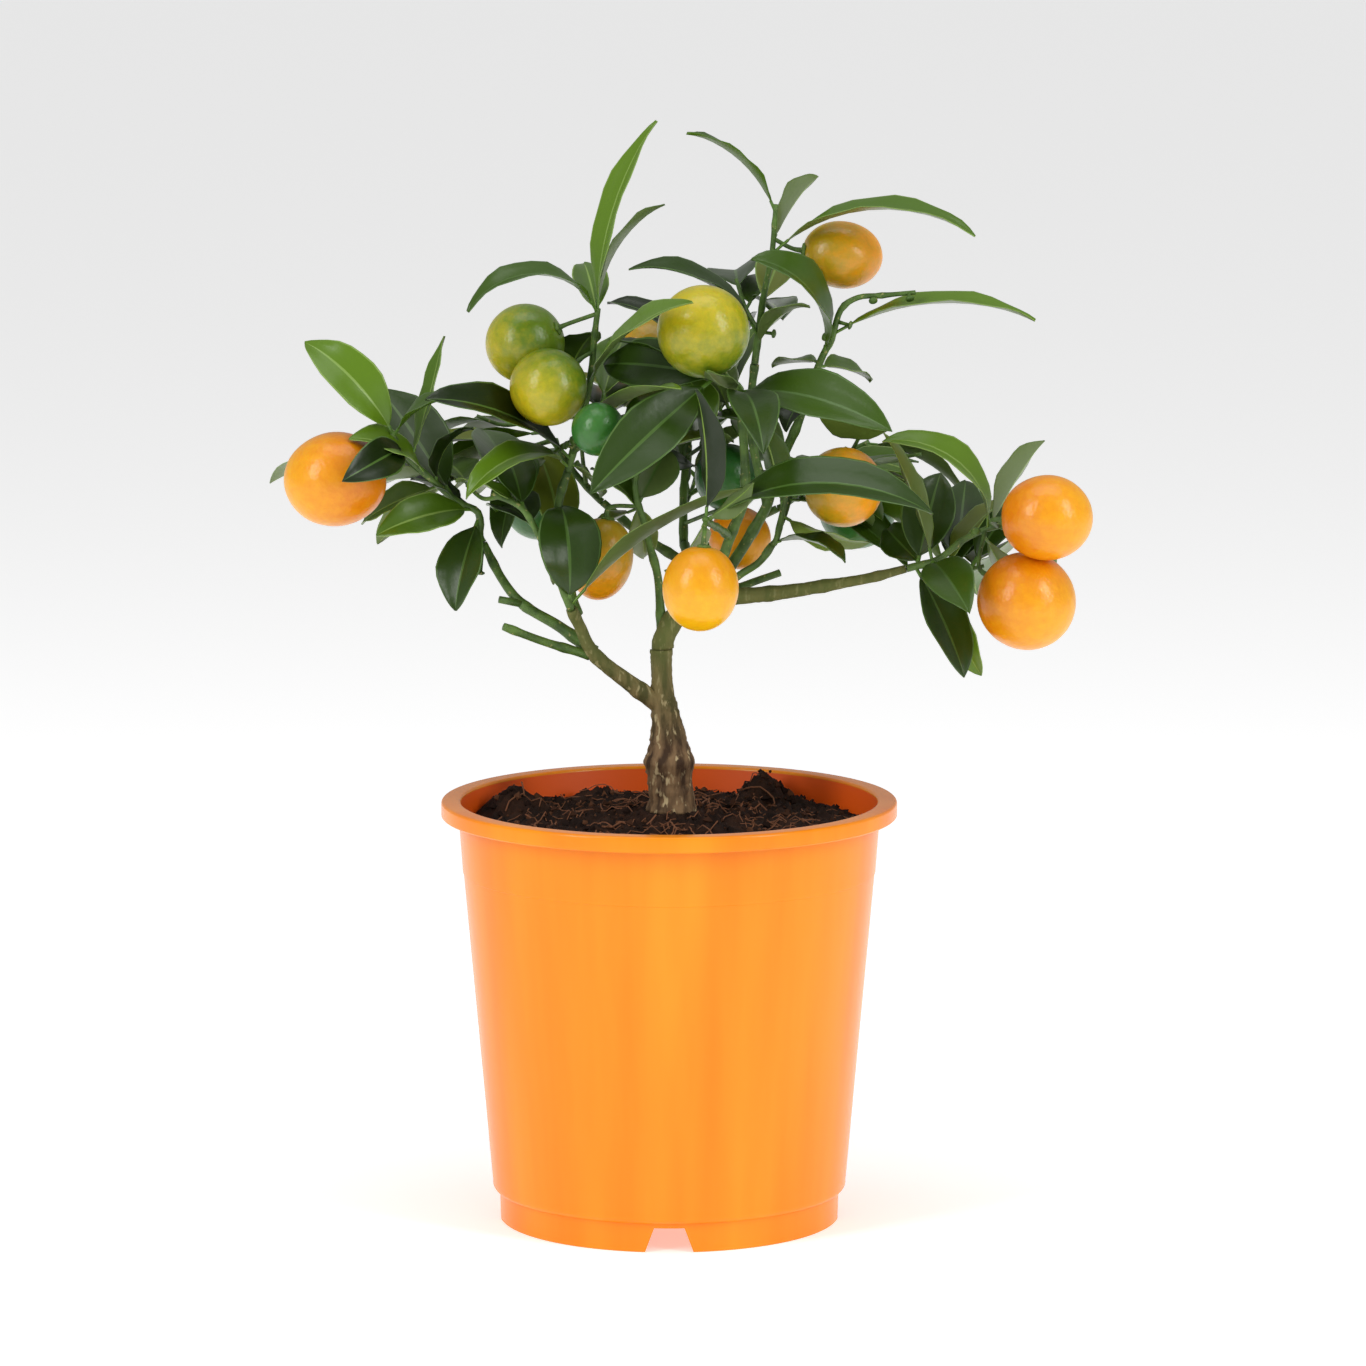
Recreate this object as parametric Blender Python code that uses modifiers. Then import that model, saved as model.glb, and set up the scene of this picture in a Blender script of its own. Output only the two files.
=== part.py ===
# Potted kumquat tree: a small grafted citrus with round fruit in an orange grower's pot.
# Sizes below are in millimetres and degrees; MM turns them into metres. Z is up, and the
# origin is at the middle of the pot's foot, on the surface it stands on. X is the tree's
# widest way, Y runs to its back.
# A heading is the compass turn from +X towards +Y, and a rise is the angle above level.

import math
import random

import bmesh
import bpy
from mathutils import Matrix, Vector, noise
from mathutils.bvhtree import BVHTree

MM = 0.001
GAP = 0.3

# Pot, turned: radii and heights of its wall, rim and foot
RIM_RADIUS = 95.0
RIM_TOP = 177.0
RIM_SKIRT = 170.4
RIM_INNER_RADIUS = 88.0
WALL = 1.5
SHOULDER_RADIUS = 88.0
STEP_RADIUS = 85.8
STEP_HEIGHT = 147.0
STEP_DEPTH = 0.3
BODY_FOOT_RADIUS = 74.1
BODY_FOOT_HEIGHT = 16.0
FOOT_RADIUS = 71.2
FOOT_HEIGHT = 11.5
BASE_UNDERSIDE = 10.5
BASE_THICKNESS = 1.8
POT_STEPS = 44

# Four notches in the foot and eight drain holes in the base
NOTCHES = 4
NOTCH_FOOT_WIDTH = 20.0
NOTCH_TOP_WIDTH = 12.5
NOTCH_HEIGHT = 10.2
DRAIN_HOLES = 8
DRAIN_RADIUS = 4.0
DRAIN_CIRCLE = 46.0

# Soil: level at the wall, mounded to the trunk's foot, with lumps left by the potting
SOIL_WALL_HEIGHT = 165.0
SOIL_TRUNK_HEIGHT = 172.0
SOIL_PAD_RADIUS = 13.0
SOIL_ROUGHNESS = 1.1
SOIL_STEPS = 36
SOIL_LUMPS = (
    dict(x=40, y=58, height=12, reach=15),
    dict(x=-66, y=34, height=10, reach=17),
    dict(x=-30, y=60, height=4, reach=16),
    dict(x=60, y=-20, height=3, reach=20),
)

# Trunk: legs of length, heading and rise from the flat cut, and the radius at each joint
TRUNK_START = (1, 0, SOIL_TRUNK_HEIGHT + GAP)
TRUNK_LEGS = (
    (5, 180, 90),
    (6, 180, 84),
    (11, 180, 88),
    (8, 180, 87),
    (6, 180, 85),
    (12, 180, 82),
    (9, 180, 87),
    (11, 180, 89),
)
TRUNK_RADII = (10.4, 9.0, 8.7, 9.2, 7.9, 6.0, 4.6, 3.9, 4.2)

# Boughs in the order they fork: start point, legs of length, heading and rise, end radii
BOUGHS = {
    "bough_right": dict(
        start=(-2.6, 0, 240.6), radii=(4.5, 1.6),
        legs=((4, 20, 84), (11, 27, 58), (12, 17, 36), (17, -7, 3), (20, -12, 7),
              (19, -9, 10), (17, -7, 11), (15, -4, 15)),
    ),
    "bough_left": dict(
        start=(-4, 0, 217), radii=(3.7, 2.1),
        legs=((18, -159, 36), (19, -160, 40), (15, -141, 59), (9, -123, 51)),
    ),
    "bough_left_outer": dict(
        start=(-31, -8, 240), radii=(2.5, 1.6),
        legs=((18, 164, 34), (18, 165, 29), (14, 155, 46), (17, 153, 59)),
    ),
    "cut_branch_left": dict(
        start=(-33, -9, 239), radii=(1.8, 1.6),
        legs=((20, -165, 18), (19, -164, 22)),
    ),
    "bough_left_upper": dict(
        start=(-38, -15, 257), radii=(2.0, 1.6),
        legs=((18, 113, 49), (20, 115, 61), (15, 76, 70), (12, -31, 71)),
    ),
    "bough_centre": dict(
        start=(-3, 1, 243), radii=(1.9, 1.5),
        legs=((14, 100, 74), (14, 105, 72), (13, 138, 70), (9, 141, 72)),
    ),
    "bough_front": dict(
        start=(13, 5, 259), radii=(2.3, 1.7),
        legs=((19, -14, 63), (14, -42, 65), (14, -31, 66), (13, -68, 80), (17, -131, 85),
              (12, 180, 86)),
    ),
    "bough_upper_right": dict(
        start=(16, 6, 260), radii=(2.5, 1.7),
        legs=((20, 10, 55), (16, 7, 58), (12, 10, 62), (10, 0, 80), (14, -19, 64),
              (12, -24, 65), (12, -29, 70)),
    ),
    "bough_top": dict(
        start=(41, 11, 300), radii=(1.9, 1.6),
        legs=((9, 136, 68), (12, 161, 75), (13, 154, 80), (14, -51, 85), (11, -39, 82)),
    ),
    "bough_right_upper": dict(
        start=(17, 4, 259), radii=(1.7, 1.4),
        legs=((16, -17, 44), (12, -24, 34), (10, -28, 51)),
    ),
    "cut_branch_right": dict(
        start=(19, 6, 259), radii=(1.7, 1.5),
        legs=((14, 24, 25), (17, 14, 18)),
    ),
    "bough_low_centre": dict(
        start=(25, 1, 287), radii=(1.7, 1.4),
        legs=((22, -100, 15), (22, -99, 12)),
    ),
    "bough_back": dict(
        start=(13, 6, 258), radii=(2.8, 2.0),
        legs=((28, 96, 14), (28, 98, 24)),
    ),
    "bough_back_left": dict(
        start=(9, 44, 269), radii=(2.0, 1.6),
        legs=((24, 172, 32), (22, 165, 38)),
    ),
    "bough_back_right": dict(
        start=(9, 46, 270), radii=(2.0, 1.6),
        legs=((24, 20, 34), (20, 5, 26)),
    ),
}

# Leaves: outline stations along the length, from the root to the tip
LEAF_STATIONS = (0.0, 0.04, 0.14, 0.36, 0.62, 0.86, 1.0)
LEAF_PETIOLE = 0.10
LEAF_PETIOLE_HALF_WIDTH = 0.9
LEAF_THICKNESS = 0.018
LEAF_FOLD = 18.0
ROOT_DEPTH = 2.0
STEM_LEAD = 3.0
TEST_MARGIN = 0.6
GOLDEN_TURN = 137.5
TRIES_PER_LEAF = 80
SEEDED_SPAN = (44, 70)

# Masses of foliage. Each stem goes on from its bough's tip by its legs. A fruit row holds:
# place along the stem, heading, rise and reach to the fruit's middle, heading and rise of
# its axis, width, length. A leaf row holds: place along the stem, heading, rise and span
# from root to tip, arch of the midrib, roll, width. Rows give what the eye level view
# shows, and the seeded rule adds twigs and leaves inside the mass's room.
MASSES = {
    "foliage_far_left": dict(
        bough="bough_left_outer", radii=(1.6, 1.1), seed=3, twigs=2, leaves=6,
        legs=((10, 180, 86), (10, -166, 28), (14, -158, 41), (16, -155, 43), (13, -142, 53)),
        room=dict(centre=(-112, 42, 312), reach=(48, 46, 36)),
        fruit=((0.91, -167, -28, 30, 185, -8, 39, 43),),
        posed=(
            (1.00, 171, 46, 54, 80, -55, 22),
            (1.00, -14, 27, 37, 70, 15, 16),
            (0.77, 31, 73, 53, -10, 0, 12),
            (0.64, -144, 25, 41, 50, -35, 20),
            (0.87, -122, -12, 44, 60, -60, 18),
            (0.80, 128, -11, 102, 20, 0, 22),
            (0.51, 152, -25, 42, 20, -40, 18),
            (0.24, -147, -9, 47, 45, -45, 20),
            (0.16, -121, -63, 41, 25, 0, 23),
            (0.29, 166, 26, 26, 20, 0, 20),
            (0.53, -15, 57, 29, 80, 0, 18),
        ),
    ),
    "foliage_left": dict(
        bough="bough_left", radii=(1.7, 1.1), seed=5, twigs=2, leaves=7,
        legs=((13, 180, 69), (17, 150, 61), (14, 165, 57), (14, 162, 24)),
        room=dict(centre=(-66, 38, 312), reach=(34, 44, 30)),
        fruit=(),
        posed=(
            (0.04, 101, 65, 43, 100, 0, 28),
            (0.02, -19, 33, 98, 35, 0, 26),
            (0.75, 106, 32, 42, 40, 0, 20),
            (0.80, 149, 17, 32, 40, 0, 12),
        ),
    ),
    "foliage_upper_left": dict(
        bough="bough_left_upper", radii=(1.6, 1.2), seed=7, twigs=2, leaves=6,
        legs=((18, -23, 74), (18, -46, 72), (21, -54, 80), (11, -57, 77)),
        room=dict(centre=(-40, 48, 352), reach=(38, 44, 30)),
        fruit=((0.97, 163, -23, 34, 160, -25, 33, 33),
               (0.74, -145, -31, 26, 210, -35, 32, 32),
               (0.11, -75, 19, 45, -80, 20, 22, 22)),
        posed=(
            (1.00, 7, 73, 83, 40, 25, 17),
            (0.99, 42, 50, 57, 55, -40, 16),
            (1.00, -157, 3, 58, 120, -15, 18),
            (0.55, -62, 25, 98, 30, 45, 18),
            (0.02, -141, -9, 55, 100, -20, 18),
            (0.07, -146, 23, 77, 45, -35, 28),
            (0.87, 109, -30, 41, 20, 0, 18),
            (0.96, 98, 23, 47, 20, 0, 16),
            (0.18, -59, 20, 90, 30, 0, 16),
            (0.05, 55, -35, 28, 20, 30, 16),
        ),
    ),
    "foliage_centre": dict(
        bough="bough_centre", radii=(1.5, 1.0), seed=11, twigs=1, leaves=6,
        legs=((8, 180, 72), (8, 112, 83), (13, 50, 67)),
        room=dict(centre=(-8, 48, 318), reach=(36, 40, 36)),
        fruit=((0.24, 190, -53, 27, 190, -80, 27, 35),),
        posed=(
            (0.27, 58, 43, 31, 30, 30, 22),
            (0.17, 148, 35, 30, 30, 0, 20),
            (0.30, 85, -42, 42, 10, 160, 14),
            (0.22, 128, -32, 72, 30, -30, 20),
        ),
    ),
    "foliage_centre_front": dict(
        bough="bough_front", radii=(1.7, 1.1), seed=13, twigs=0, leaves=4,
        legs=((8, -102, 40), (14, -119, 18), (13, -113, 6)),
        room=dict(centre=(10, 20, 350), reach=(36, 50, 30)),
        fruit=((0.18, -122, 44, 39, -122, 48, 38, 38),),
        posed=(
            (0.88, -150, -37, 73, 25, -50, 26),
            (0.60, 143, 2, 63, 40, -60, 24),
            (0.12, -83, -12, 75, 50, 0, 22),
            (0.16, -36, -8, 77, 50, 40, 26),
            (0.25, -107, 15, 46, -25, 0, 12),
            (0.72, 141, 12, 60, 20, 0, 12),
        ),
    ),
    "foliage_low_centre": dict(
        bough="bough_low_centre", radii=(1.5, 1.2), seed=17, twigs=0, leaves=1,
        legs=((8, -100, 13), (8, -102, 16)),
        room=dict(centre=(10, -50, 310), reach=(40, 40, 26)),
        fruit=((0.97, -100, -65, 29, -160, -86, 31, 35),),
        posed=(
            (1.00, -150, 86, 54, 20, 0, 22),
            (0.69, -16, 4, 95, 80, 30, 28),
            (0.88, -33, 35, 29, 20, -120, 12),
            (0.98, 120, -38, 41, 20, 150, 20),
        ),
    ),
    "foliage_top": dict(
        bough="bough_top", radii=(1.6, 1.0), seed=19, twigs=1, leaves=7,
        legs=((21, -39, 81), (12, -45, 76), (11, -45, 75), (21, -52, 83)),
        room=dict(centre=(42, 50, 378), reach=(30, 44, 26)),
        fruit=((0.79, 11, -14, 30, 12, -8, 28, 34),),
        posed=(
            (0.95, -164, 42, 51, 55, -5, 16),
            (0.77, 49, 43, 38, 20, -60, 22),
            (0.69, -20, 7, 89, 75, 10, 20),
            (0.10, -42, 34, 35, 60, 0, 14),
            (0.17, -159, 28, 65, 70, -20, 20),
            (0.40, 73, -19, 32, 30, 0, 20),
        ),
    ),
    "foliage_upper_right": dict(
        bough="bough_upper_right", radii=(1.7, 0.9), seed=23, twigs=1, leaves=7,
        legs=((16, -35, 65), (8, -29, 60), (13, -29, 71), (9, -15, 36), (10, -12, 6),
              (14, -8, 6)),
        room=dict(centre=(76, 44, 340), reach=(34, 44, 26)),
        fruit=(),
        posed=(
            (0.24, -143, 50, 57, 95, -45, 30),
            (0.40, -7, 5, 84, 55, 10, 18),
            (0.19, 39, -15, 30, 30, 20, 18),
            (0.22, 130, -7, 31, 10, 0, 14),
            (0.05, 27, -28, 43, 20, 140, 24),
            (0.06, -130, -45, 24, 20, 0, 14),
        ),
    ),
    "foliage_right": dict(
        bough="bough_right_upper", radii=(1.4, 1.0), seed=29, twigs=1, leaves=5,
        legs=((10, 0, 78), (10, -32, 76), (8, 20, 66)),
        room=dict(centre=(75, 36, 306), reach=(36, 44, 26)),
        fruit=((0.80, -12, 3, 23, -5, 5, 33, 33),),
        posed=(
            (0.02, -36, -7, 37, 60, 0, 16),
            (0.42, 22, -19, 42, 30, 150, 16),
            (0.50, -128, 68, 42, 20, 0, 16),
            (0.90, 66, 2, 52, 30, 0, 18),
        ),
    ),
    "foliage_far_right": dict(
        bough="bough_right", radii=(1.6, 1.1), seed=31, twigs=2, leaves=6,
        legs=((11, -21, 18), (14, -22, 38), (11, -18, 27), (7, -17, 16)),
        room=dict(centre=(118, 38, 288), reach=(44, 56, 34)),
        fruit=((0.98, -54, 12, 33, -20, 5, 35, 38),
               (0.84, -50, -47, 37, -30, -30, 40, 41)),
        posed=(
            (0.86, -166, 40, 59, 110, -35, 20),
            (0.87, 40, 49, 46, 10, -60, 24),
            (0.25, -148, 67, 60, 20, 0, 14),
            (0.10, 59, 62, 42, 20, 20, 24),
            (0.14, 118, 22, 32, 30, -50, 16),
            (0.25, -77, -13, 59, 30, 20, 22),
            (0.08, -37, -60, 51, 20, 20, 22),
            (0.27, 38, -63, 57, 20, 160, 20),
            (0.80, 51, -55, 62, 20, 0, 16),
            (1.00, 43, -29, 40, 20, 0, 16),
        ),
    ),
    "foliage_back": dict(
        bough="bough_back", radii=(2.0, 1.1), seed=37, twigs=5, leaves=18,
        legs=((20, 90, 74), (22, 60, 80), (22, -40, 76), (20, -80, 64)),
        room=dict(centre=(8, 58, 326), reach=(62, 46, 68)),
        fruit=((0.12, -57, -2, 43, -57, -40, 26, 27),
               (0.45, -54, -12, 30, -54, -60, 28, 29),
               (0.92, 150, 10, 26, 150, -40, 32, 33)),
        posed=(),
    ),
    "foliage_back_left": dict(
        bough="bough_back_left", radii=(1.5, 1.0), seed=41, twigs=4, leaves=15,
        legs=((14, 160, 45), (16, 150, 50), (16, 185, 45)),
        room=dict(centre=(-62, 58, 302), reach=(58, 46, 44)),
        fruit=((0.60, 120, -55, 28, 120, -65, 33, 35),),
        posed=(),
    ),
    "foliage_back_right": dict(
        bough="bough_back_right", radii=(1.5, 1.0), seed=43, twigs=4, leaves=15,
        legs=((14, 25, 35), (16, 15, 40), (16, -5, 30)),
        room=dict(centre=(72, 58, 292), reach=(56, 46, 42)),
        fruit=((0.70, 60, -55, 28, 60, -65, 33, 35),),
        posed=(),
    ),
}
# No leaf goes further back than this, so that the tree stays centred on its pot
BACK_REACH = 98.0

# Colours of the photographed plant and pot: red, green, blue, and roughness
COLOURS = {
    "pot": ((0.93, 0.30, 0.03, 1.0), 0.38),
    "soil": ((0.05, 0.025, 0.015, 1.0), 0.95),
    "bark": ((0.20, 0.15, 0.08, 1.0), 0.8),
    "green_bark": ((0.09, 0.16, 0.05, 1.0), 0.6),
    "foliage": ((0.05, 0.13, 0.03, 1.0), 0.4),
}


def clear_scene():
    for thing in list(bpy.data.objects):
        bpy.data.objects.remove(thing, do_unlink=True)


def new_collection(name):
    group = bpy.data.collections.new(name)
    bpy.context.scene.collection.children.link(group)
    return group


def new_material(name, colour, roughness):
    material = bpy.data.materials.new(name)
    material.use_nodes = True
    shader = material.node_tree.nodes["Principled BSDF"]
    shader.inputs["Base Color"].default_value = colour
    shader.inputs["Roughness"].default_value = roughness
    shader.inputs["Metallic"].default_value = 0.0
    return material


def finish(thing, kind):
    colour, roughness = COLOURS[kind]
    thing.data.materials.clear()
    thing.data.materials.append(new_material(thing.name, colour, roughness))


def add_mesh(name, mesh, group):
    thing = bpy.data.objects.new(name, mesh)
    group.objects.link(thing)
    return thing


def make_real(thing, group):
    # Turns an object with its modifiers, or a curve, into a plain mesh of welded faces
    bpy.context.view_layer.update()
    graph = bpy.context.evaluated_depsgraph_get()
    mesh = bpy.data.meshes.new_from_object(thing.evaluated_get(graph))
    bm = bmesh.new()
    bm.from_mesh(mesh)
    bmesh.ops.remove_doubles(bm, verts=bm.verts, dist=0.001 * MM)
    bm.to_mesh(mesh)
    bm.free()
    real = add_mesh(thing.name + "_real", mesh, group)
    real.matrix_world = thing.matrix_world.copy()
    name = thing.name
    bpy.data.objects.remove(thing, do_unlink=True)
    real.name = name
    return real


def keep_largest_body(mesh):
    # A Boolean can leave loose scraps or sealed inner shells: only the outer body stays
    bm = bmesh.new()
    bm.from_mesh(mesh)
    bmesh.ops.dissolve_degenerate(bm, edges=bm.edges, dist=0.001 * MM)
    bm.verts.ensure_lookup_table()
    seen = set()
    bodies = []
    for start in bm.verts:
        if start in seen:
            continue
        body = []
        edge_of_search = [start]
        seen.add(start)
        while edge_of_search:
            vert = edge_of_search.pop()
            body.append(vert)
            for edge in vert.link_edges:
                other = edge.other_vert(vert)
                if other not in seen:
                    seen.add(other)
                    edge_of_search.append(other)
        bodies.append(body)
    largest = max(bodies, key=len)
    for body in bodies:
        if body is not largest:
            bmesh.ops.delete(bm, geom=body, context="VERTS")
    bm.to_mesh(mesh)
    bm.free()
    return len(bodies)


def boolean(thing, other, operation, solver="EXACT"):
    modifier = thing.modifiers.new(operation.lower(), "BOOLEAN")
    modifier.operation = operation
    modifier.solver = solver
    if isinstance(other, bpy.types.Collection):
        modifier.operand_type = "COLLECTION"
        modifier.collection = other
    else:
        modifier.object = other
    return modifier


def turned(name, profile, steps, group):
    # A profile of (radius, height) pairs, run down the outer side, turned about Z
    mesh = bpy.data.meshes.new(name)
    bm = bmesh.new()
    verts = [bm.verts.new((radius * MM, 0.0, height * MM)) for radius, height in profile]
    for first, second in zip(verts, verts[1:]):
        bm.edges.new((first, second))
    bm.to_mesh(mesh)
    bm.free()
    thing = add_mesh(name, mesh, group)
    screw = thing.modifiers.new("turn", "SCREW")
    screw.axis = "Z"
    screw.steps = steps
    screw.render_steps = steps
    screw.use_merge_vertices = True
    screw.merge_threshold = 0.01 * MM
    return thing


def arc_points(centre, radius, start, end, count):
    steps = [start + (end - start) * i / count for i in range(count + 1)]
    return [(centre[0] + radius * math.cos(math.radians(a)),
             centre[1] + radius * math.sin(math.radians(a))) for a in steps]


# Pot and soil

def inner_radius(height):
    # The pot's inner wall at a height, a straight taper below the step and above it
    if height < STEP_HEIGHT:
        share = (height - BODY_FOOT_HEIGHT) / (STEP_HEIGHT - BODY_FOOT_HEIGHT)
        return BODY_FOOT_RADIUS + (STEP_RADIUS - BODY_FOOT_RADIUS) * share - WALL
    share = (height - STEP_HEIGHT) / (RIM_SKIRT - STEP_HEIGHT)
    return STEP_RADIUS + (SHOULDER_RADIUS - STEP_RADIUS) * share - WALL


def build_pot(parts, cutters):
    base_top = BASE_UNDERSIDE + BASE_THICKNESS
    rim_underside = RIM_TOP - WALL
    rim_round = 1.2
    inside = [(0, base_top), (BODY_FOOT_RADIUS - 4.5, base_top),
              (inner_radius(BODY_FOOT_HEIGHT), BODY_FOOT_HEIGHT),
              (inner_radius(STEP_HEIGHT), STEP_HEIGHT),
              (inner_radius(RIM_SKIRT), RIM_SKIRT)]
    rim = arc_points((RIM_INNER_RADIUS, RIM_TOP - rim_round), rim_round, 180, 90, 2)
    rim += arc_points((RIM_RADIUS - rim_round, RIM_TOP - rim_round), rim_round, 90, 0, 2)
    rim += [(RIM_RADIUS, RIM_SKIRT), (RIM_RADIUS - WALL, RIM_SKIRT),
            (RIM_RADIUS - WALL, rim_underside), (SHOULDER_RADIUS + 0.2, rim_underside)]
    outside = [(STEP_RADIUS + STEP_DEPTH, STEP_HEIGHT), (STEP_RADIUS, STEP_HEIGHT - STEP_DEPTH),
               (BODY_FOOT_RADIUS, BODY_FOOT_HEIGHT)]
    turn_in = BODY_FOOT_RADIUS - FOOT_RADIUS
    outside += arc_points((BODY_FOOT_RADIUS - turn_in, BODY_FOOT_HEIGHT - 1), turn_in, -20, -90, 3)
    foot = [(FOOT_RADIUS, FOOT_HEIGHT), (FOOT_RADIUS, 0), (FOOT_RADIUS - WALL - 0.3, 0),
            (FOOT_RADIUS - WALL - 0.3, BASE_UNDERSIDE), (0, BASE_UNDERSIDE)]
    pot = turned("pot", inside + rim + outside + foot, POT_STEPS, parts)

    for i in range(NOTCHES):
        notch = notch_cutter("notch_%d" % i, i * 360 / NOTCHES, cutters)
        boolean(pot, notch, "DIFFERENCE")
    for i in range(DRAIN_HOLES):
        angle = math.radians((i + 0.5) * 360 / DRAIN_HOLES)
        bpy.ops.mesh.primitive_cylinder_add(
            vertices=8, radius=DRAIN_RADIUS * MM, depth=8 * MM,
            location=(DRAIN_CIRCLE * MM * math.cos(angle), DRAIN_CIRCLE * MM * math.sin(angle),
                      BASE_UNDERSIDE * MM))
        hole = bpy.context.object
        hole.name = "drain_%d" % i
        hide_cutter(hole, cutters)
        boolean(pot, hole, "DIFFERENCE")
    finish(pot, "pot")
    return pot


def hide_cutter(thing, cutters):
    for group in list(thing.users_collection):
        group.objects.unlink(thing)
    cutters.objects.link(thing)
    thing.hide_render = True
    thing.display_type = "WIRE"


def notch_cutter(name, turn, cutters):
    # A wedge with a trapezoid face, wider at the foot, that crosses the foot ring
    bpy.ops.mesh.primitive_cube_add(size=1.0)
    notch = bpy.context.object
    notch.name = name
    below = 2.0
    flare = (NOTCH_FOOT_WIDTH - NOTCH_TOP_WIDTH) / NOTCH_HEIGHT
    for vert in notch.data.vertices:
        top = vert.co.z > 0
        width = NOTCH_TOP_WIDTH if top else NOTCH_FOOT_WIDTH + flare * below
        height = NOTCH_HEIGHT if top else -below
        vert.co = Vector((FOOT_RADIUS + vert.co.x * 12, vert.co.y * width, height)) * MM
    notch.rotation_euler = (0, 0, math.radians(turn - 90))
    hide_cutter(notch, cutters)
    return notch


def soil_height(x, y):
    radius = math.hypot(x - TRUNK_START[0], y)
    wall = inner_radius(SOIL_WALL_HEIGHT)
    share = min(max((radius - SOIL_PAD_RADIUS) / (wall - SOIL_PAD_RADIUS), 0.0), 1.0)
    height = SOIL_TRUNK_HEIGHT + (SOIL_WALL_HEIGHT - SOIL_TRUNK_HEIGHT) * math.sqrt(share)
    rough = SOIL_ROUGHNESS * min(share * 6, 1.0)
    height += rough * noise.noise(Vector((x, y, 3.0)) * 0.12)
    for lump in SOIL_LUMPS:
        away = math.hypot(x - lump["x"], y - lump["y"]) / lump["reach"]
        height += lump["height"] * math.exp(-away * away * 2.2)
    return height


def build_soil(parts):
    bottom = BASE_UNDERSIDE + BASE_THICKNESS + GAP
    wall = [(inner_radius(h) - GAP, h) for h in (SOIL_WALL_HEIGHT, STEP_HEIGHT, BODY_FOOT_HEIGHT)]
    rings = [wall[0][0] * share for share in (0.0, 0.08, 0.16, 0.3, 0.45, 0.6, 0.75, 0.9)]
    top = [(radius, SOIL_WALL_HEIGHT) for radius in rings]
    floor = [(BODY_FOOT_RADIUS - 4.5 - GAP, bottom), (0, bottom)]
    soil = make_real(turned("soil", top + wall + floor, SOIL_STEPS, parts), parts)
    edge = wall[0][0] * MM * 0.999
    for vert in soil.data.vertices:
        on_top = vert.co.z > (SOIL_WALL_HEIGHT - 0.01) * MM
        if on_top and math.hypot(vert.co.x, vert.co.y) < edge:
            vert.co.z = soil_height(vert.co.x / MM, vert.co.y / MM) * MM
    finish(soil, "soil")
    return soil


# Limbs

def aim(heading, rise):
    heading = math.radians(heading)
    rise = math.radians(rise)
    return Vector((math.cos(rise) * math.cos(heading),
                   math.cos(rise) * math.sin(heading), math.sin(rise)))


def walk(start, legs):
    points = [Vector(start)]
    for length, heading, rise in legs:
        points.append(points[-1] + aim(heading, rise) * length)
    return points


def lengths_along(points):
    total = [0.0]
    for first, second in zip(points, points[1:]):
        total.append(total[-1] + (second - first).length)
    return total


def place_on(points, share):
    # The point and the direction at a share of a path's length
    total = lengths_along(points)
    target = share * total[-1]
    for i in range(len(points) - 1):
        if target <= total[i + 1] or i == len(points) - 2:
            step = points[i + 1] - points[i]
            inside = (target - total[i]) / (total[i + 1] - total[i])
            return points[i] + step * inside, step.normalized()
    return points[-1], (points[-1] - points[-2]).normalized()


def tapered(points, ends):
    total = lengths_along(points)
    return [ends[0] + (ends[1] - ends[0]) * t / total[-1] for t in total]


def tube(name, points, radii, group, sides=2):
    # A curve with round section, its radius set at every point and its ends filled
    curve = bpy.data.curves.new(name, "CURVE")
    curve.dimensions = "3D"
    curve.bevel_depth = MM
    curve.bevel_resolution = sides
    curve.use_fill_caps = True
    curve.render_resolution_u = 0
    spline = curve.splines.new("POLY")
    spline.points.add(len(points) - 1)
    for slot, point, radius in zip(spline.points, points, radii):
        slot.co = (*(point * MM), 1.0)
        slot.radius = radius
    thing = bpy.data.objects.new(name, curve)
    group.objects.link(thing)
    return make_real(thing, group)


def tree_of(thing):
    return BVHTree.FromPolygons([v.co for v in thing.data.vertices],
                                [p.vertices for p in thing.data.polygons])


def build_limbs(parts, cutters):
    # Each limb is cut clear of the ones it forks from, by the same limb made GAP thicker
    limbs = {}
    routes = {"trunk": (walk(TRUNK_START, TRUNK_LEGS), TRUNK_RADII)}
    for name, bough in BOUGHS.items():
        points = walk(bough["start"], bough["legs"])
        routes[name] = (points, tapered(points, bough["radii"]))
    for name, (points, radii) in routes.items():
        limb = tube(name, points, radii, parts, sides=4 if name == "trunk" else 2)
        own_tree = tree_of(limb)
        for earlier, sleeve in limbs.items():
            if own_tree.overlap(tree_of(sleeve)):
                boolean(limb, sleeve, "DIFFERENCE")
        limb = make_real(limb, parts)
        keep_largest_body(limb.data)
        finish(limb, "bark" if name in ("trunk", "bough_left", "bough_right") else "green_bark")
        sleeve = tube(name + "_sleeve", points, [r + GAP for r in radii], cutters,
                      sides=4 if name == "trunk" else 2)
        hide_cutter(sleeve, cutters)
        limbs[name] = sleeve
    return routes


# Leaves and fruit

def blade_share(along):
    # Half width of the blade as a share of its widest, from the root to the tip
    if along <= LEAF_PETIOLE:
        return 0.0
    blade = (along - LEAF_PETIOLE) / (1.0 - LEAF_PETIOLE)
    return math.sin(math.pi * min(blade, 1.0) ** 0.92) ** 0.8


def leaf_frame(leaf):
    # Chord from root to tip, the side across the blade and the way its upper face looks
    chord = aim(leaf["heading"], leaf["rise"])
    side = chord.cross(Vector((0, 0, 1))).normalized()
    face = side.cross(chord)
    turn = Matrix.Rotation(math.radians(leaf["roll"]), 3, chord)
    return chord, turn @ side, turn @ face


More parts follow.
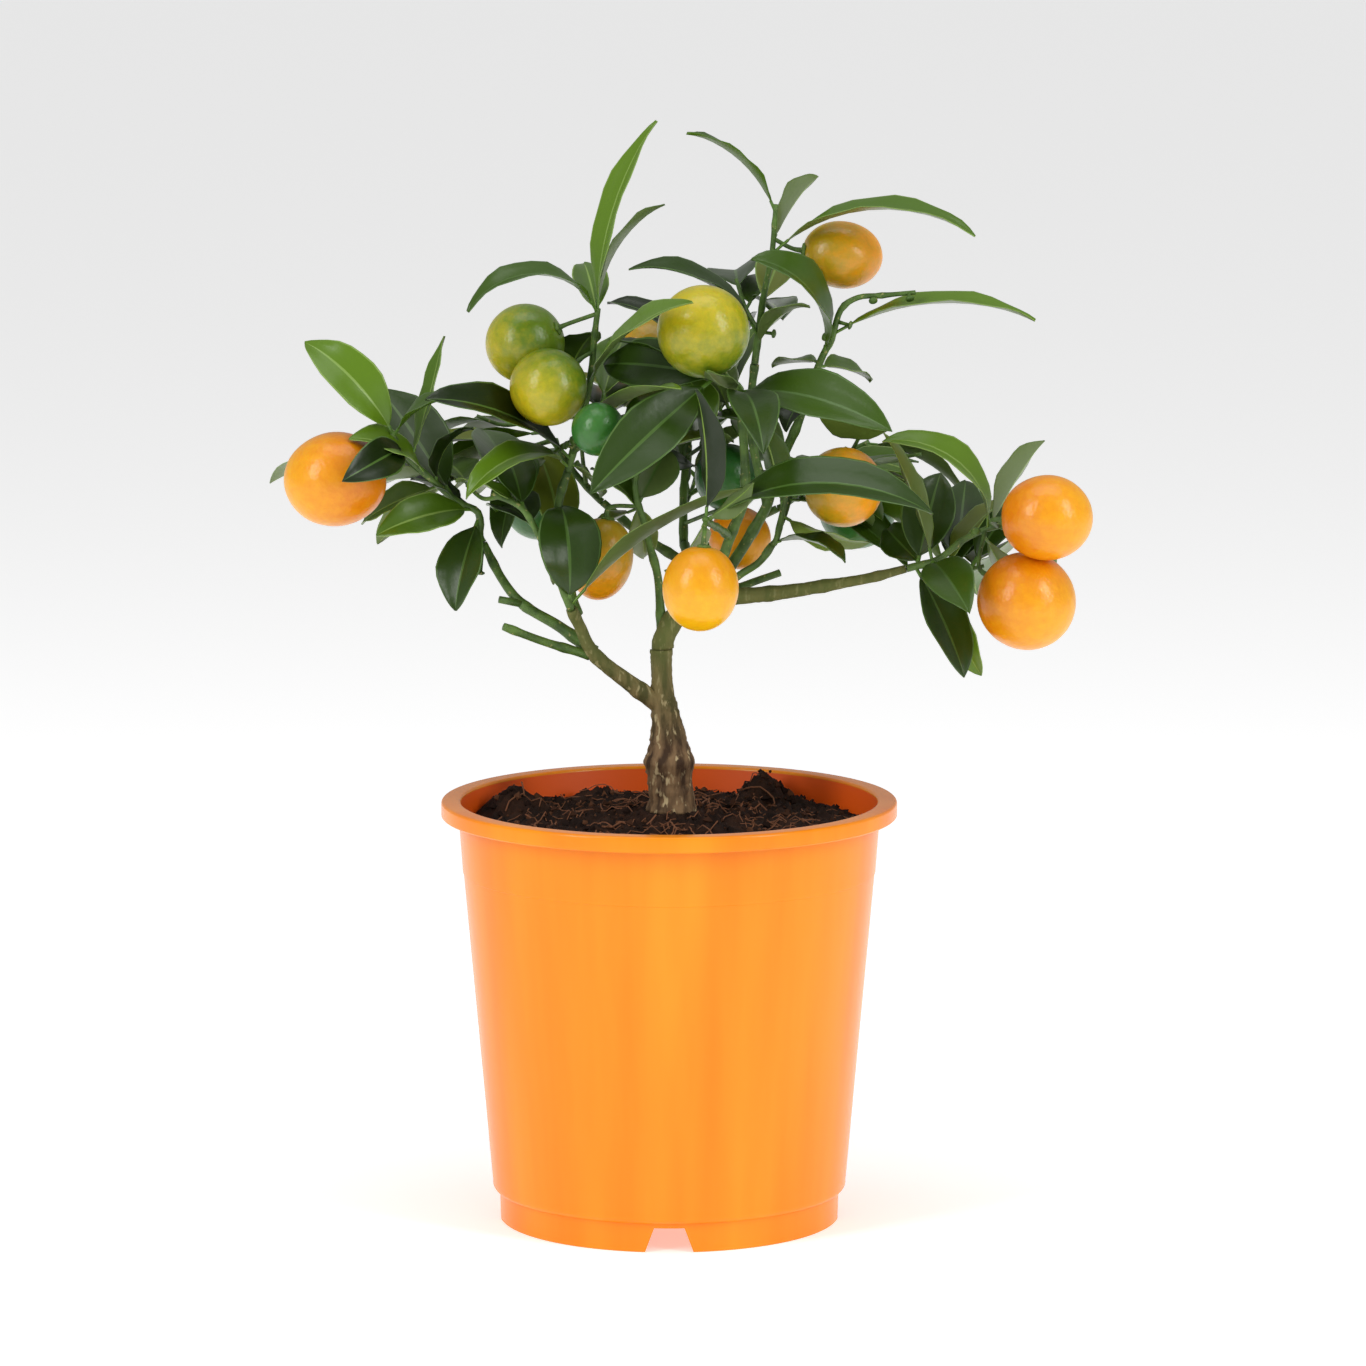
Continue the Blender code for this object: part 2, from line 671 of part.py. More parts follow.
def midrib(leaf, along, frame):
    # Point on the arched midrib and the direction its upper face looks there
    chord, side, face = frame
    half = math.radians(leaf["arch"]) / 2
    if abs(half) < 0.01:
        return leaf["root"] + chord * leaf["span"] * along, face
    radius = leaf["span"] / (2 * math.sin(half))
    slope = half - 2 * half * along
    forward = radius * (math.sin(half) - math.sin(slope))
    outward = radius * (math.cos(slope) - math.cos(half))
    up = face * math.cos(slope) - chord * math.sin(slope)
    return leaf["root"] + chord * forward + face * outward, up


def leaf_mesh(leaf, margin=0.0, start=0.0):
    # A small sphere of four sides, flattened and bent: a leaf of diamond section
    rings = len(LEAF_STATIONS) - 1
    bm = bmesh.new()
    bmesh.ops.create_uvsphere(bm, u_segments=4, v_segments=rings, radius=1.0)
    frame = leaf_frame(leaf)
    fold = math.radians(LEAF_FOLD)
    for vert in bm.verts:
        ring = round(math.acos(max(-1.0, min(1.0, vert.co.z))) / math.pi * rings)
        along = max(LEAF_STATIONS[ring], start)
        point, up = midrib(leaf, along, frame)
        if 0 < ring < rings:
            size = math.sin(math.pi * ring / rings)
            across = vert.co.x / size
            through = vert.co.y / size
            half_width = max(blade_share(along) * leaf["width"] / 2, LEAF_PETIOLE_HALF_WIDTH)
            half_thick = max(leaf["span"] * LEAF_THICKNESS / 2, 0.5)
            point = point + frame[1] * across * (half_width * math.cos(fold) + margin)
            point += up * (abs(across) * half_width * math.sin(fold))
            point += up * through * (half_thick + margin)
        vert.co = point * MM
    mesh = bpy.data.meshes.new("leaf")
    bm.to_mesh(mesh)
    bm.free()
    return mesh


def fruit_mesh(fruit):
    bm = bmesh.new()
    bmesh.ops.create_uvsphere(bm, u_segments=10, v_segments=8, radius=0.5 * MM)
    turn = fruit["axis"].to_track_quat("Z", "Y").to_matrix()
    for vert in bm.verts:
        across = Vector((vert.co.x * fruit["width"], vert.co.y * fruit["width"],
                         vert.co.z * fruit["length"]))
        vert.co = turn @ across + fruit["middle"] * MM
    mesh = bpy.data.meshes.new("fruit")
    bm.to_mesh(mesh)
    bm.free()
    return mesh


def mesh_tree(mesh):
    return BVHTree.FromPolygons([v.co for v in mesh.vertices], [p.vertices for p in mesh.polygons])


def leaf_trees(leaf):
    # The leaf as it is, with a margin round it, and the same without its root
    meshes = [leaf_mesh(leaf), leaf_mesh(leaf, TEST_MARGIN), leaf_mesh(leaf, TEST_MARGIN, 0.2)]
    return [mesh_tree(mesh) for mesh in meshes]


def furthest_back(leaf):
    return max(vert.co.y for vert in leaf_mesh(leaf).vertices) / MM


class Crown:
    # Everything that has been placed, so that a twig or leaf that would touch it is skipped

    def __init__(self):
        self.placed = []

    def add(self, owner, middle, reach, tree):
        self.placed.append((owner, middle, reach, tree))

    def touching(self, middle, reach, tree, skip=(), only=()):
        for owner, other_middle, other_reach, other_tree in self.placed:
            if owner in skip or (only and owner not in only):
                continue
            if (middle - other_middle).length > reach + other_reach:
                continue
            if tree.overlap(other_tree):
                return owner
        return None


def sunk_place(points, at):
    # A place on a stem, kept off its very end so that what grows there is sunk in it
    end = 1.0 - ROOT_DEPTH / lengths_along(points)[-1]
    return place_on(points, min(at, end))


def posed_leaf(points, row):
    at, heading, rise, span, arch, roll, width = row
    root, direction = sunk_place(points, at)
    return dict(root=root, heading=heading, rise=rise, span=span, arch=arch, roll=roll,
                width=width)


def seeded_direction(direction, turn, spread):
    across = direction.orthogonal().normalized()
    turned_across = Matrix.Rotation(math.radians(turn), 3, direction) @ across
    spread = math.radians(spread)
    return direction * math.cos(spread) + turned_across * math.sin(spread)


def as_angles(direction):
    return (math.degrees(math.atan2(direction.y, direction.x)),
            math.degrees(math.asin(max(-1.0, min(1.0, direction.z)))))


def in_room(room, point):
    offset = point - Vector(room["centre"])
    return sum((offset[i] / room["reach"][i]) ** 2 for i in range(3)) <= 1.0


def leaf_reach(leaf):
    frame = leaf_frame(leaf)
    middle, up = midrib(leaf, 0.5, frame)
    return middle, leaf["span"] / 2 + leaf["width"] / 2


def leaf_tip(leaf):
    return leaf["root"] + aim(leaf["heading"], leaf["rise"]) * leaf["span"]


def seeded_twigs(name, mass, stem, crown, rng):
    # Twigs leave the stem a golden turn apart and lean towards the room's middle
    twigs = []
    turn = rng.uniform(0, 360)
    for i in range(mass["twigs"]):
        turn += GOLDEN_TURN
        for attempt in range(6):
            root, direction = place_on(stem, 0.2 + 0.75 * i / max(mass["twigs"] - 1, 1))
            way = seeded_direction(direction, turn + attempt * 60, rng.uniform(45, 65))
            length = rng.uniform(22, 34)
            bend = (way + Vector((0, 0, 0.5))).normalized()
            points = [root, root + way * length * 0.5, root + way * length * 0.5 + bend * length * 0.5]
            if not in_room(mass["room"], points[-1]):
                continue
            proof = tube("proof", points[1:], (1.6, 1.4), mass["workshop"], sides=0)
            tree = tree_of(proof)
            bpy.data.objects.remove(proof, do_unlink=True)
            middle = (points[1] + points[2]) / 2
            if crown.touching(middle, length, tree, skip=(name + "_stem",)):
                continue
            crown.add(name + "_twig", middle, length, tree)
            twigs.append(points)
            break
    return twigs


def seeded_leaves(name, mass, paths, crown, rng):
    # Leaves leave each path a golden turn apart, the last one going on from its tip
    leaves = []
    turn = rng.uniform(0, 360)
    total = mass["leaves"]
    tries = 0
    while len(leaves) < total and tries < total * TRIES_PER_LEAF:
        path = paths[tries % len(paths)]
        share = rng.uniform(0.25, 1.0)
        if tries < len(paths):
            share = 1.0
        tries += 1
        turn += GOLDEN_TURN
        root, direction = sunk_place(path, share)
        spread = rng.uniform(15, 35) if share > 0.97 else rng.uniform(50, 80)
        heading, rise = as_angles(seeded_direction(direction, turn, spread))
        leaf = dict(root=root, heading=heading, rise=max(-55.0, min(70.0, rise)),
                    span=rng.uniform(*SEEDED_SPAN), arch=rng.uniform(15, 60),
                    roll=rng.uniform(-25, 25), width=0.0)
        leaf["width"] = leaf["span"] * rng.uniform(0.36, 0.44)
        middle, reach = leaf_reach(leaf)
        tip = leaf_tip(leaf)
        if not in_room(mass["room"], tip) or not in_room(mass["room"], middle):
            continue
        if furthest_back(leaf) > BACK_REACH:
            continue
        real, padded, blade = leaf_trees(leaf)
        own_wood = (name + "_stem", name + "_twig")
        if crown.touching(middle, reach, padded, skip=(name,) + own_wood):
            continue
        if crown.touching(middle, reach, blade, only=(name,) + own_wood):
            continue
        crown.add(name, middle, reach, real)
        leaves.append(leaf)
    return leaves


def fruit_of(stem, row):
    at, heading, rise, reach, axis_heading, axis_rise, width, length = row
    root, direction = sunk_place(stem, at)
    axis = aim(axis_heading, axis_rise)
    middle = root + aim(heading, rise) * reach
    return dict(root=root, middle=middle, axis=axis, width=width, length=length,
                stalk=[root, middle - axis * length * 0.62, middle - axis * length * 0.40])


def build_mass(name, mass, group, parts):
    # One Boolean union on a collection joins the stem, twigs, leaves and fruit
    stem = tube(name, mass["stem"], tapered(mass["stem"], mass["radii"]), parts, sides=1)
    workshop = mass["workshop"]
    for points in mass["grown_twigs"]:
        tube(name + "_twig", points, (1.1, 0.9, 0.8), workshop, sides=0)
    for fruit in mass["grown_fruit"]:
        tube(name + "_stalk", fruit["stalk"], (0.9, 0.9, 1.6), workshop, sides=0)
        add_mesh(name + "_fruit", fruit_mesh(fruit), workshop)
    for leaf in mass["grown_leaves"]:
        add_mesh(name + "_leaf", leaf_mesh(leaf), workshop)
    boolean(stem, workshop, "UNION", "MANIFOLD")
    whole = make_real(stem, parts)
    bodies = keep_largest_body(whole.data)
    for thing in list(workshop.objects):
        bpy.data.objects.remove(thing, do_unlink=True)
    bpy.data.collections.remove(workshop)
    finish(whole, "foliage")
    print(name, "leaves", len(mass["grown_leaves"]), "faces", len(whole.data.polygons),
          "bodies", bodies)
    return whole


def grow_masses(parts, routes):
    crown = Crown()
    for name, (points, radii) in routes.items():
        tree = tree_of(bpy.data.objects[name])
        middle = (points[0] + points[-1]) / 2
        crown.add(name, middle, (points[0] - points[-1]).length, tree)
    for name in ("pot", "soil"):
        graph = bpy.context.evaluated_depsgraph_get()
        mesh = bpy.data.objects[name].evaluated_get(graph).to_mesh()
        crown.add(name, Vector((0, 0, 90)), 140, mesh_tree(mesh))

    for name, mass in MASSES.items():
        mass["workshop"] = new_collection(name + "_workshop")
        tip, direction = place_on(routes[mass["bough"]][0], 1.0)
        start = tip + direction * GAP
        mass["stem"] = [start] + walk(start + direction * STEM_LEAD, mass["legs"])
        proof = tube("proof", mass["stem"], tapered(mass["stem"], mass["radii"]),
                     mass["workshop"], sides=1)
        middle = (mass["stem"][0] + mass["stem"][-1]) / 2
        crown.add(name + "_stem", middle, lengths_along(mass["stem"])[-1], tree_of(proof))
        bpy.data.objects.remove(proof, do_unlink=True)
        mass["grown_fruit"] = [fruit_of(mass["stem"], row) for row in mass["fruit"]]
        for fruit in mass["grown_fruit"]:
            crown.add(name + "_fruit", fruit["middle"], fruit["length"] / 2,
                      mesh_tree(fruit_mesh(fruit)))
    for name, mass in MASSES.items():
        mass["grown_leaves"] = []
        for row in mass["posed"]:
            leaf = posed_leaf(mass["stem"], row)
            middle, reach = leaf_reach(leaf)
            real, padded, blade = leaf_trees(leaf)
            touched = crown.touching(middle, reach, padded, skip=(name, name + "_stem"))
            if touched:
                print("skipped", name, row, "touches", touched)
                continue
            crown.add(name, middle, reach, real)
            mass["grown_leaves"].append(leaf)
    for name, mass in MASSES.items():
        rng = random.Random(mass["seed"])
        mass["grown_twigs"] = seeded_twigs(name, mass, mass["stem"], crown, rng)
        paths = [mass["stem"]] + mass["grown_twigs"]
        mass["grown_leaves"] += seeded_leaves(name, mass, paths, crown, rng)
    for name, mass in MASSES.items():
        build_mass(name, mass, mass["workshop"], parts)


def main():
    clear_scene()
    parts = new_collection("potted_kumquat_tree")
    cutters = new_collection("cutters")
    build_pot(parts, cutters)
    build_soil(parts)
    routes = build_limbs(parts, cutters)
    grow_masses(parts, routes)
    for name in list(BOUGHS) + ["trunk"]:
        bpy.data.objects.remove(bpy.data.objects[name + "_sleeve"], do_unlink=True)


main()
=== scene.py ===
# Potted kumquat tree, dressed: the orange grower's pot, potting soil, ridged bark, glossy
# leaves and ripening fruit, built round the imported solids.
# Sizes are in millimetres and degrees, and mm turns them into metres. Z is up and the origin
# is at the middle of the pot's foot. A heading turns from +X towards +Y, a rise is its angle
# above level. Colours are the red, green and blue of a colour picker.

import math
import random

import bmesh
import bpy
from mathutils import Matrix, Vector, noise
from mathutils.bvhtree import BVHTree


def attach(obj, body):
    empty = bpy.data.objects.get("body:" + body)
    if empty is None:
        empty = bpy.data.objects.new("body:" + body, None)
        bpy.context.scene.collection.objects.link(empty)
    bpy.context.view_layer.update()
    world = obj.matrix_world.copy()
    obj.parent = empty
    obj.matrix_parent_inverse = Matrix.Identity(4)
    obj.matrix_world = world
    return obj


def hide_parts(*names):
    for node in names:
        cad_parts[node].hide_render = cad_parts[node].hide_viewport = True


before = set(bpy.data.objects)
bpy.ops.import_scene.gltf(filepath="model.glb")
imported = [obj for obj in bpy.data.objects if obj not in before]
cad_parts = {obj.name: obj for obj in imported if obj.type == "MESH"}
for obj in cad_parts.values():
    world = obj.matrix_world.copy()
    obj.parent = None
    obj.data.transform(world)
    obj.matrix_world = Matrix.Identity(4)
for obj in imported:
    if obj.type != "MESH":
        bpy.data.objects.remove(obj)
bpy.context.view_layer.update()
print("frame loaded:", len(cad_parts), "solids")

mm = 0.001
gap = 0.3
# A length or an angle small enough to count as none
nearly = 0.01


# What every piece uses

def paint(red, green, blue):
    # A picker's colour, from 0 to 255, as the linear values that a shader takes
    return tuple((value / 255) ** 2.2 for value in (red, green, blue)) + (1.0,)


def newMaterial(name, colour, roughness, **sockets):
    material = bpy.data.materials.new(name)
    material.use_nodes = True
    shader = material.node_tree.nodes["Principled BSDF"]
    shader.inputs["Base Color"].default_value = paint(*colour)
    shader.inputs["Roughness"].default_value = roughness
    for socket, value in sockets.items():
        shader.inputs[socket.replace("_", " ")].default_value = value
    return material


def addNode(material, kind, **values):
    node = material.node_tree.nodes.new(kind)
    for socket, value in values.items():
        node.inputs[socket.replace("_", " ")].default_value = value
    return node


def wire(material, source, output, target, socket):
    material.node_tree.links.new(source.outputs[output], target.inputs[socket])


def noisePattern(material, scale, detail=3.0, stretch=(1, 1, 1), roughness=0.5):
    # Noise on Object coordinates, drawn out by its Mapping
    place = addNode(material, "ShaderNodeTexCoord")
    mapping = addNode(material, "ShaderNodeMapping", Scale=stretch)
    pattern = addNode(material, "ShaderNodeTexNoise", Scale=scale, Detail=detail,
                      Roughness=roughness)
    wire(material, place, "Object", mapping, "Vector")
    wire(material, mapping, "Vector", pattern, "Vector")
    return pattern


def spreadOf(material, pattern, low, high):
    # The pattern's values between low and high, drawn out to 0 and 1
    spread = addNode(material, "ShaderNodeMapRange", From_Min=low, From_Max=high)
    wire(material, pattern, 0, spread, "Value")
    return spread


# Which socket of a colour Mix node is which
mixSockets = dict(factor=0, first=6, second=7, result=2)


def mixedColour(material, factor, first, second):
    # Two colours mixed by a factor, the first of them a colour or another mix
    links = material.node_tree.links
    mix = material.node_tree.nodes.new("ShaderNodeMix")
    mix.data_type = "RGBA"
    links.new(factor.outputs[0], mix.inputs[mixSockets["factor"]])
    if isinstance(first, bpy.types.Node):
        links.new(first.outputs[mixSockets["result"]], mix.inputs[mixSockets["first"]])
    else:
        mix.inputs[mixSockets["first"]].default_value = paint(*first)
    mix.inputs[mixSockets["second"]].default_value = paint(*second)
    return mix


def colourFrom(material, mix):
    shader = material.node_tree.nodes["Principled BSDF"]
    material.node_tree.links.new(mix.outputs[mixSockets["result"]],
                                 shader.inputs["Base Color"])


def bumpFrom(material, pattern, depth, strength):
    # The pattern's relief, its depth in millimetres
    bump = addNode(material, "ShaderNodeBump", Strength=strength, Distance=depth * mm)
    shader = material.node_tree.nodes["Principled BSDF"]
    wire(material, pattern, 0, bump, "Height")
    wire(material, bump, "Normal", shader, "Normal")


def mottled(material, first, second, low, high, **pattern):
    # The second colour over the first, where noise is high
    spread = spreadOf(material, noisePattern(material, **pattern), low, high)
    return mixedColour(material, spread, first, second)


def roughen(material, depth, strength, **pattern):
    bumpFrom(material, noisePattern(material, **pattern), depth, strength)


def selectOnly(thing):
    bpy.ops.object.select_all(action="DESELECT")
    thing.select_set(True)
    bpy.context.view_layer.objects.active = thing


def applyModifiers(thing):
    selectOnly(thing)
    for modifier in list(thing.modifiers):
        bpy.ops.object.modifier_apply(modifier=modifier.name)


def linkMesh(name, verts, faces, materials, faceSlots=None, smooth=True):
    # One mesh from joined points and faces, given in millimetres
    mesh = bpy.data.meshes.new(name)
    mesh.from_pydata([(v[0] * mm, v[1] * mm, v[2] * mm) for v in verts], [], faces)
    thing = bpy.data.objects.new(name, mesh)
    bpy.context.scene.collection.objects.link(thing)
    for material in materials:
        mesh.materials.append(material)
    if faceSlots:
        mesh.polygons.foreach_set("material_index", faceSlots)
    if smooth:
        mesh.shade_smooth()
    mesh.update()
    return thing


def joinRings(faces, first, rings, sides, turned=False):
    # Faces between rings of points that follow each other from the first
    for i in range(rings - 1):
        for k in range(sides):
            a = first + i * sides + k
            b = first + i * sides + (k + 1) % sides
            faces.append((a, a + sides, b + sides, b) if turned
                         else (a, b, b + sides, a + sides))


def dress(thing, finish, *nodes):
    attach(thing, "root")
    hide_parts(*nodes)
    return thing


# Camera, floor and light

cameraView = dict(place=(0, -2873, 655.8), tilt=81.49, turn=-0.115, lens=184.1, sensor=36.0,
                  clipEnd=100)
studio = dict(
    floorSize=60, floorColour=(253, 253, 253), floorRoughness=0.9, floorGlow=0.38,
    air=(255, 255, 255), airStrength=0.42, aimAt=(0, 0, 240),
    lights=(
        dict(name="leftBox", place=(-1500, -1300, 1300), size=(500, 1500), power=19),
        dict(name="rightBox", place=(1500, -1200, 1200), size=(400, 1500), power=17),
        dict(name="topBox", place=(0, -100, 1900), size=(1400, 1000), power=8),
    ),
)


def addCamera():
    bpy.ops.object.camera_add(
        location=[value * mm for value in cameraView["place"]],
        rotation=(math.radians(cameraView["tilt"]), 0, math.radians(cameraView["turn"])))
    camera = bpy.context.object
    camera.name = "camera"
    camera.data.lens = cameraView["lens"]
    camera.data.sensor_width = cameraView["sensor"]
    camera.data.clip_end = cameraView["clipEnd"]
    bpy.context.scene.camera = camera
    # Plain colours, as the photo has them
    bpy.context.scene.view_settings.view_transform = "Standard"


def addStudio():
    # A pale floor that glows a little, soft light from the sides and above, and light air
    bpy.ops.object.select_all(action="DESELECT")
    bpy.ops.mesh.primitive_plane_add(size=studio["floorSize"])
    floor = bpy.context.object
    floor.name = "floor"
    floor.data.materials.append(newMaterial(
        "paleFloor", studio["floorColour"], studio["floorRoughness"], Specular_IOR_Level=0.1,
        Emission_Color=(1, 1, 1, 1), Emission_Strength=studio["floorGlow"]))
    world = bpy.data.worlds.new("air")
    world.use_nodes = True
    sky = world.node_tree.nodes["Background"]
    sky.inputs["Color"].default_value = paint(*studio["air"])
    sky.inputs["Strength"].default_value = studio["airStrength"]
    bpy.context.scene.world = world
    for box in studio["lights"]:
        place = Vector(box["place"])
        turn = (Vector(studio["aimAt"]) - place).to_track_quat("-Z", "Y").to_euler()
        bpy.ops.object.light_add(type="AREA", location=place * mm, rotation=turn)
        light = bpy.context.object
        light.name = box["name"]
        light.data.shape = "RECTANGLE"
        light.data.size = box["size"][0] * mm
        light.data.size_y = box["size"][1] * mm
        light.data.energy = box["power"]
    print("camera, floor and lights placed")


# Pot: turned from the same profile as its solid, with finer rounds

pot = dict(
    steps=192, wall=1.5, smoothAngle=35,
    rimRadius=95.0, rimTop=177.0, rimSkirt=170.4, rimInnerRadius=88.0, rimRound=1.2,
    roundSteps=6, skirtRound=0.5, shoulderRadius=88.0, shoulderLedge=0.2,
    stepRadius=85.8, stepHeight=147.0, stepDepth=0.3,
    bodyFootRadius=74.1, bodyFootHeight=16.0, turnInDrop=1, turnInSteps=8,
    footRadius=71.2, footRound=0.4, footExtraWall=0.3,
    baseUnderside=10.5, baseThickness=1.8, baseCorner=4.5,
    notches=4, notchFootWidth=20.0, notchTopWidth=12.5, notchHeight=10.2, notchDepth=12.0,
    notchBelow=2.0, firstNotch=-90,
    drainHoles=8, drainRadius=4.0, drainCircle=46.0, drainSides=24, drainDepth=8.0,
    insideFrom=2.0,
    # inside is the inner wall's colour: the same plastic, painted a deeper, redder orange as
    # painted shade
    colour=(242, 132, 16), streak=(250, 148, 30), inside=(250, 96, 10),
    roughness=0.24, insideRoughness=0.45,
)


def arcPoints(centre, radius, start, end, count):
    steps = [start + (end - start) * i / count for i in range(count + 1)]
    return [(centre[0] + radius * math.cos(math.radians(a)),
             centre[1] + radius * math.sin(math.radians(a))) for a in steps]


def innerRadius(height):
    # The pot's inner wall at a height, a straight taper below the step and above it
    if height < pot["stepHeight"]:
        share = (height - pot["bodyFootHeight"]) / (pot["stepHeight"] - pot["bodyFootHeight"])
        spread = pot["stepRadius"] - pot["bodyFootRadius"]
        return pot["bodyFootRadius"] + spread * share - pot["wall"]
    share = (height - pot["stepHeight"]) / (pot["rimSkirt"] - pot["stepHeight"])
    spread = pot["shoulderRadius"] - pot["stepRadius"]
    return pot["stepRadius"] + spread * share - pot["wall"]


def turnProfile(name, profile, steps):
    # A circle drawn out and scaled from one (radius, height) of the profile to the next
    bpy.ops.object.select_all(action="DESELECT")
    radius, height = profile[0]
    bpy.ops.mesh.primitive_circle_add(vertices=steps, radius=radius * mm,
                                      location=(0, 0, height * mm), fill_type="NGON")
    thing = bpy.context.object
    thing.name = name
    selectOnly(thing)
    bpy.ops.object.transform_apply(location=True, rotation=True, scale=True)
    bpy.ops.object.mode_set(mode="EDIT")
    bpy.ops.mesh.select_all(action="SELECT")
    for nextRadius, nextHeight in profile[1:]:
        bpy.ops.mesh.extrude_region_move(
            TRANSFORM_OT_translate={"value": (0, 0, (nextHeight - height) * mm)})
        scale = nextRadius / radius
        bpy.ops.transform.resize(value=(scale, scale, 1),
                                 center_override=(0, 0, nextHeight * mm))
        radius, height = nextRadius, nextHeight
    bpy.ops.mesh.select_all(action="SELECT")
    bpy.ops.mesh.normals_make_consistent(inside=False)
    bpy.ops.object.mode_set(mode="OBJECT")
    return thing


def cutAway(thing, cutter):
    modifier = thing.modifiers.new(cutter.name, "BOOLEAN")
    modifier.operation = "DIFFERENCE"
    modifier.object = cutter
    applyModifiers(thing)
    bpy.data.objects.remove(cutter, do_unlink=True)


def notchCutter(turn):
    # A block narrowed at its top to a trapezoid, standing across the foot ring
    below = pot["notchBelow"]
    flare = (pot["notchFootWidth"] - pot["notchTopWidth"]) / pot["notchHeight"]
    footWidth = pot["notchFootWidth"] + flare * below
    height = pot["notchHeight"] + below
    bpy.ops.object.select_all(action="DESELECT")
    bpy.ops.mesh.primitive_cube_add(size=mm)
    notch = bpy.context.object
    notch.name = "notch"
    notch.scale = (pot["notchDepth"], footWidth, height)
    notch.location = (pot["footRadius"] * mm, 0, (height / 2 - below) * mm)
    bpy.ops.object.transform_apply(location=True, rotation=True, scale=True)
    for vert in notch.data.vertices:
        if vert.co.z > 0:
            vert.co.y *= pot["notchTopWidth"] / footWidth
    notch.rotation_euler.z = math.radians(turn)
    return notch


def drainCutter(turn):
    angle = math.radians(turn)
    circle = pot["drainCircle"] * mm
    bpy.ops.object.select_all(action="DESELECT")
    bpy.ops.mesh.primitive_cylinder_add(
        vertices=pot["drainSides"], radius=pot["drainRadius"] * mm,
        depth=pot["drainDepth"] * mm,
        location=(circle * math.cos(angle), circle * math.sin(angle),
                  pot["baseUnderside"] * mm))
    return bpy.context.object


def potProfile():
    # Up the inside from the middle of the base, over the rim, and down to the underside
    baseTop = pot["baseUnderside"] + pot["baseThickness"]
    rimUnderside = pot["rimTop"] - pot["wall"]
    rimRound = pot["rimRound"]
    roundHeight = pot["rimTop"] - rimRound
    inside = [(nearly, baseTop), (pot["bodyFootRadius"] - pot["baseCorner"], baseTop)]
    inside += [(innerRadius(height), height)
               for height in (pot["bodyFootHeight"], pot["stepHeight"], pot["rimSkirt"])]
    rim = arcPoints((pot["rimInnerRadius"], roundHeight), rimRound, 180, 90,
                    pot["roundSteps"])
    rim += arcPoints((pot["rimRadius"] - rimRound, roundHeight), rimRound, 90, 0,
                     pot["roundSteps"])
    rim += [(pot["rimRadius"], pot["rimSkirt"] + pot["skirtRound"]),
            (pot["rimRadius"] - pot["skirtRound"], pot["rimSkirt"]),
            (pot["rimRadius"] - pot["wall"], pot["rimSkirt"]),
            (pot["rimRadius"] - pot["wall"], rimUnderside)]
    outside = [(pot["shoulderRadius"] + pot["shoulderLedge"], rimUnderside),
               (pot["stepRadius"] + pot["stepDepth"], pot["stepHeight"]),
               (pot["stepRadius"], pot["stepHeight"] - pot["stepDepth"]),
               (pot["bodyFootRadius"], pot["bodyFootHeight"])]
    turnIn = pot["bodyFootRadius"] - pot["footRadius"]
    outside += arcPoints((pot["footRadius"], pot["bodyFootHeight"] - pot["turnInDrop"]),
                         turnIn, -10, -90, pot["turnInSteps"])
    ring = pot["footRadius"] - pot["wall"] - pot["footExtraWall"]
    foot = [(pot["footRadius"], pot["footRound"]),
            (pot["footRadius"] - pot["footRound"], 0), (ring, 0),
            (ring, pot["baseUnderside"]), (nearly, pot["baseUnderside"])]
    return inside + rim + outside + foot


def buildPot():
    thing = turnProfile("growers_pot", potProfile(), pot["steps"])
    for i in range(pot["notches"]):
        cutAway(thing, notchCutter(i * 360 / pot["notches"] + pot["firstNotch"]))
    for i in range(pot["drainHoles"]):
        cutAway(thing, drainCutter((i + 0.5) * 360 / pot["drainHoles"]))
    thing.data.materials.clear()
    thing.data.materials.append(potPlastic())
    thing.data.materials.append(newMaterial("potInsidePaintedShade", pot["inside"],
                                            pot["insideRoughness"]))
    # The inner wall, shaded by the soil and the rim, has its own slot, whose deeper, redder
    # orange is painted shade
    baseTop = pot["baseUnderside"] + pot["baseThickness"]
    for face in thing.data.polygons:
        middle = face.center / mm
        facesIn = face.normal.x * middle.x + face.normal.y * middle.y < 0
        underRim = (middle.z < pot["rimTop"] - pot["insideFrom"]
                    and math.hypot(middle.x, middle.y) < pot["rimInnerRadius"])
        if facesIn and underRim and middle.z > baseTop:
            face.material_index = 1
    selectOnly(thing)
    bpy.ops.object.shade_smooth_by_angle(angle=math.radians(pot["smoothAngle"]))
    dress(thing, "pot", "pot")
    print("pot turned:", len(thing.data.polygons), "faces")


def potPlastic():
    # Moulded plastic: faint upright streaks and scuffs
    material = newMaterial("potPlastic", pot["colour"], pot["roughness"],
                           Specular_IOR_Level=0.3)
    colourFrom(material, mottled(material, pot["colour"], pot["streak"], low=0.35, high=0.7,
                                 scale=40, detail=4.0, stretch=(1, 1, 0.04)))
    roughen(material, depth=0.05, strength=0.25, scale=350, detail=2.0)
    return material


# Soil: a mounded disc with the solid's lumps and finer ones on them, strewn with crumbs

soil = dict(
    wallHeight=165.0, trunkHeight=172.0, padRadius=13.0, roughness=1.1, steps=200, rings=70,
    roughFade=6, roughLayer=3.0, roughSize=0.12, lumpFade=2.2,
    grain=1.9, edgeFade=4, trunkClear=9, trunkFade=8,
    colour=(60, 39, 28), damp=(32, 20, 15), seed=61, strewnTo=5,
    crumbs=900, crumbSize=(0.8, 2.6), crumbFrom=0.03, smallCrumbs=2.5,
    crumbTurn=(0, 6), crumbDents=(0.6, 1.2),
    crumbColours=((62, 40, 28), (36, 23, 17), (88, 58, 40)),
    fibres=150, fibreSpan=(8, 26), fibreRadius=(0.16, 0.36), fibreFrom=0.05, fibreSteps=6,
    fibreEdge=8, fibreLift=0.5, fibreRise=0.9, fibreBend=28, fibreSides=4,
    fibreColour=(122, 78, 52),
)
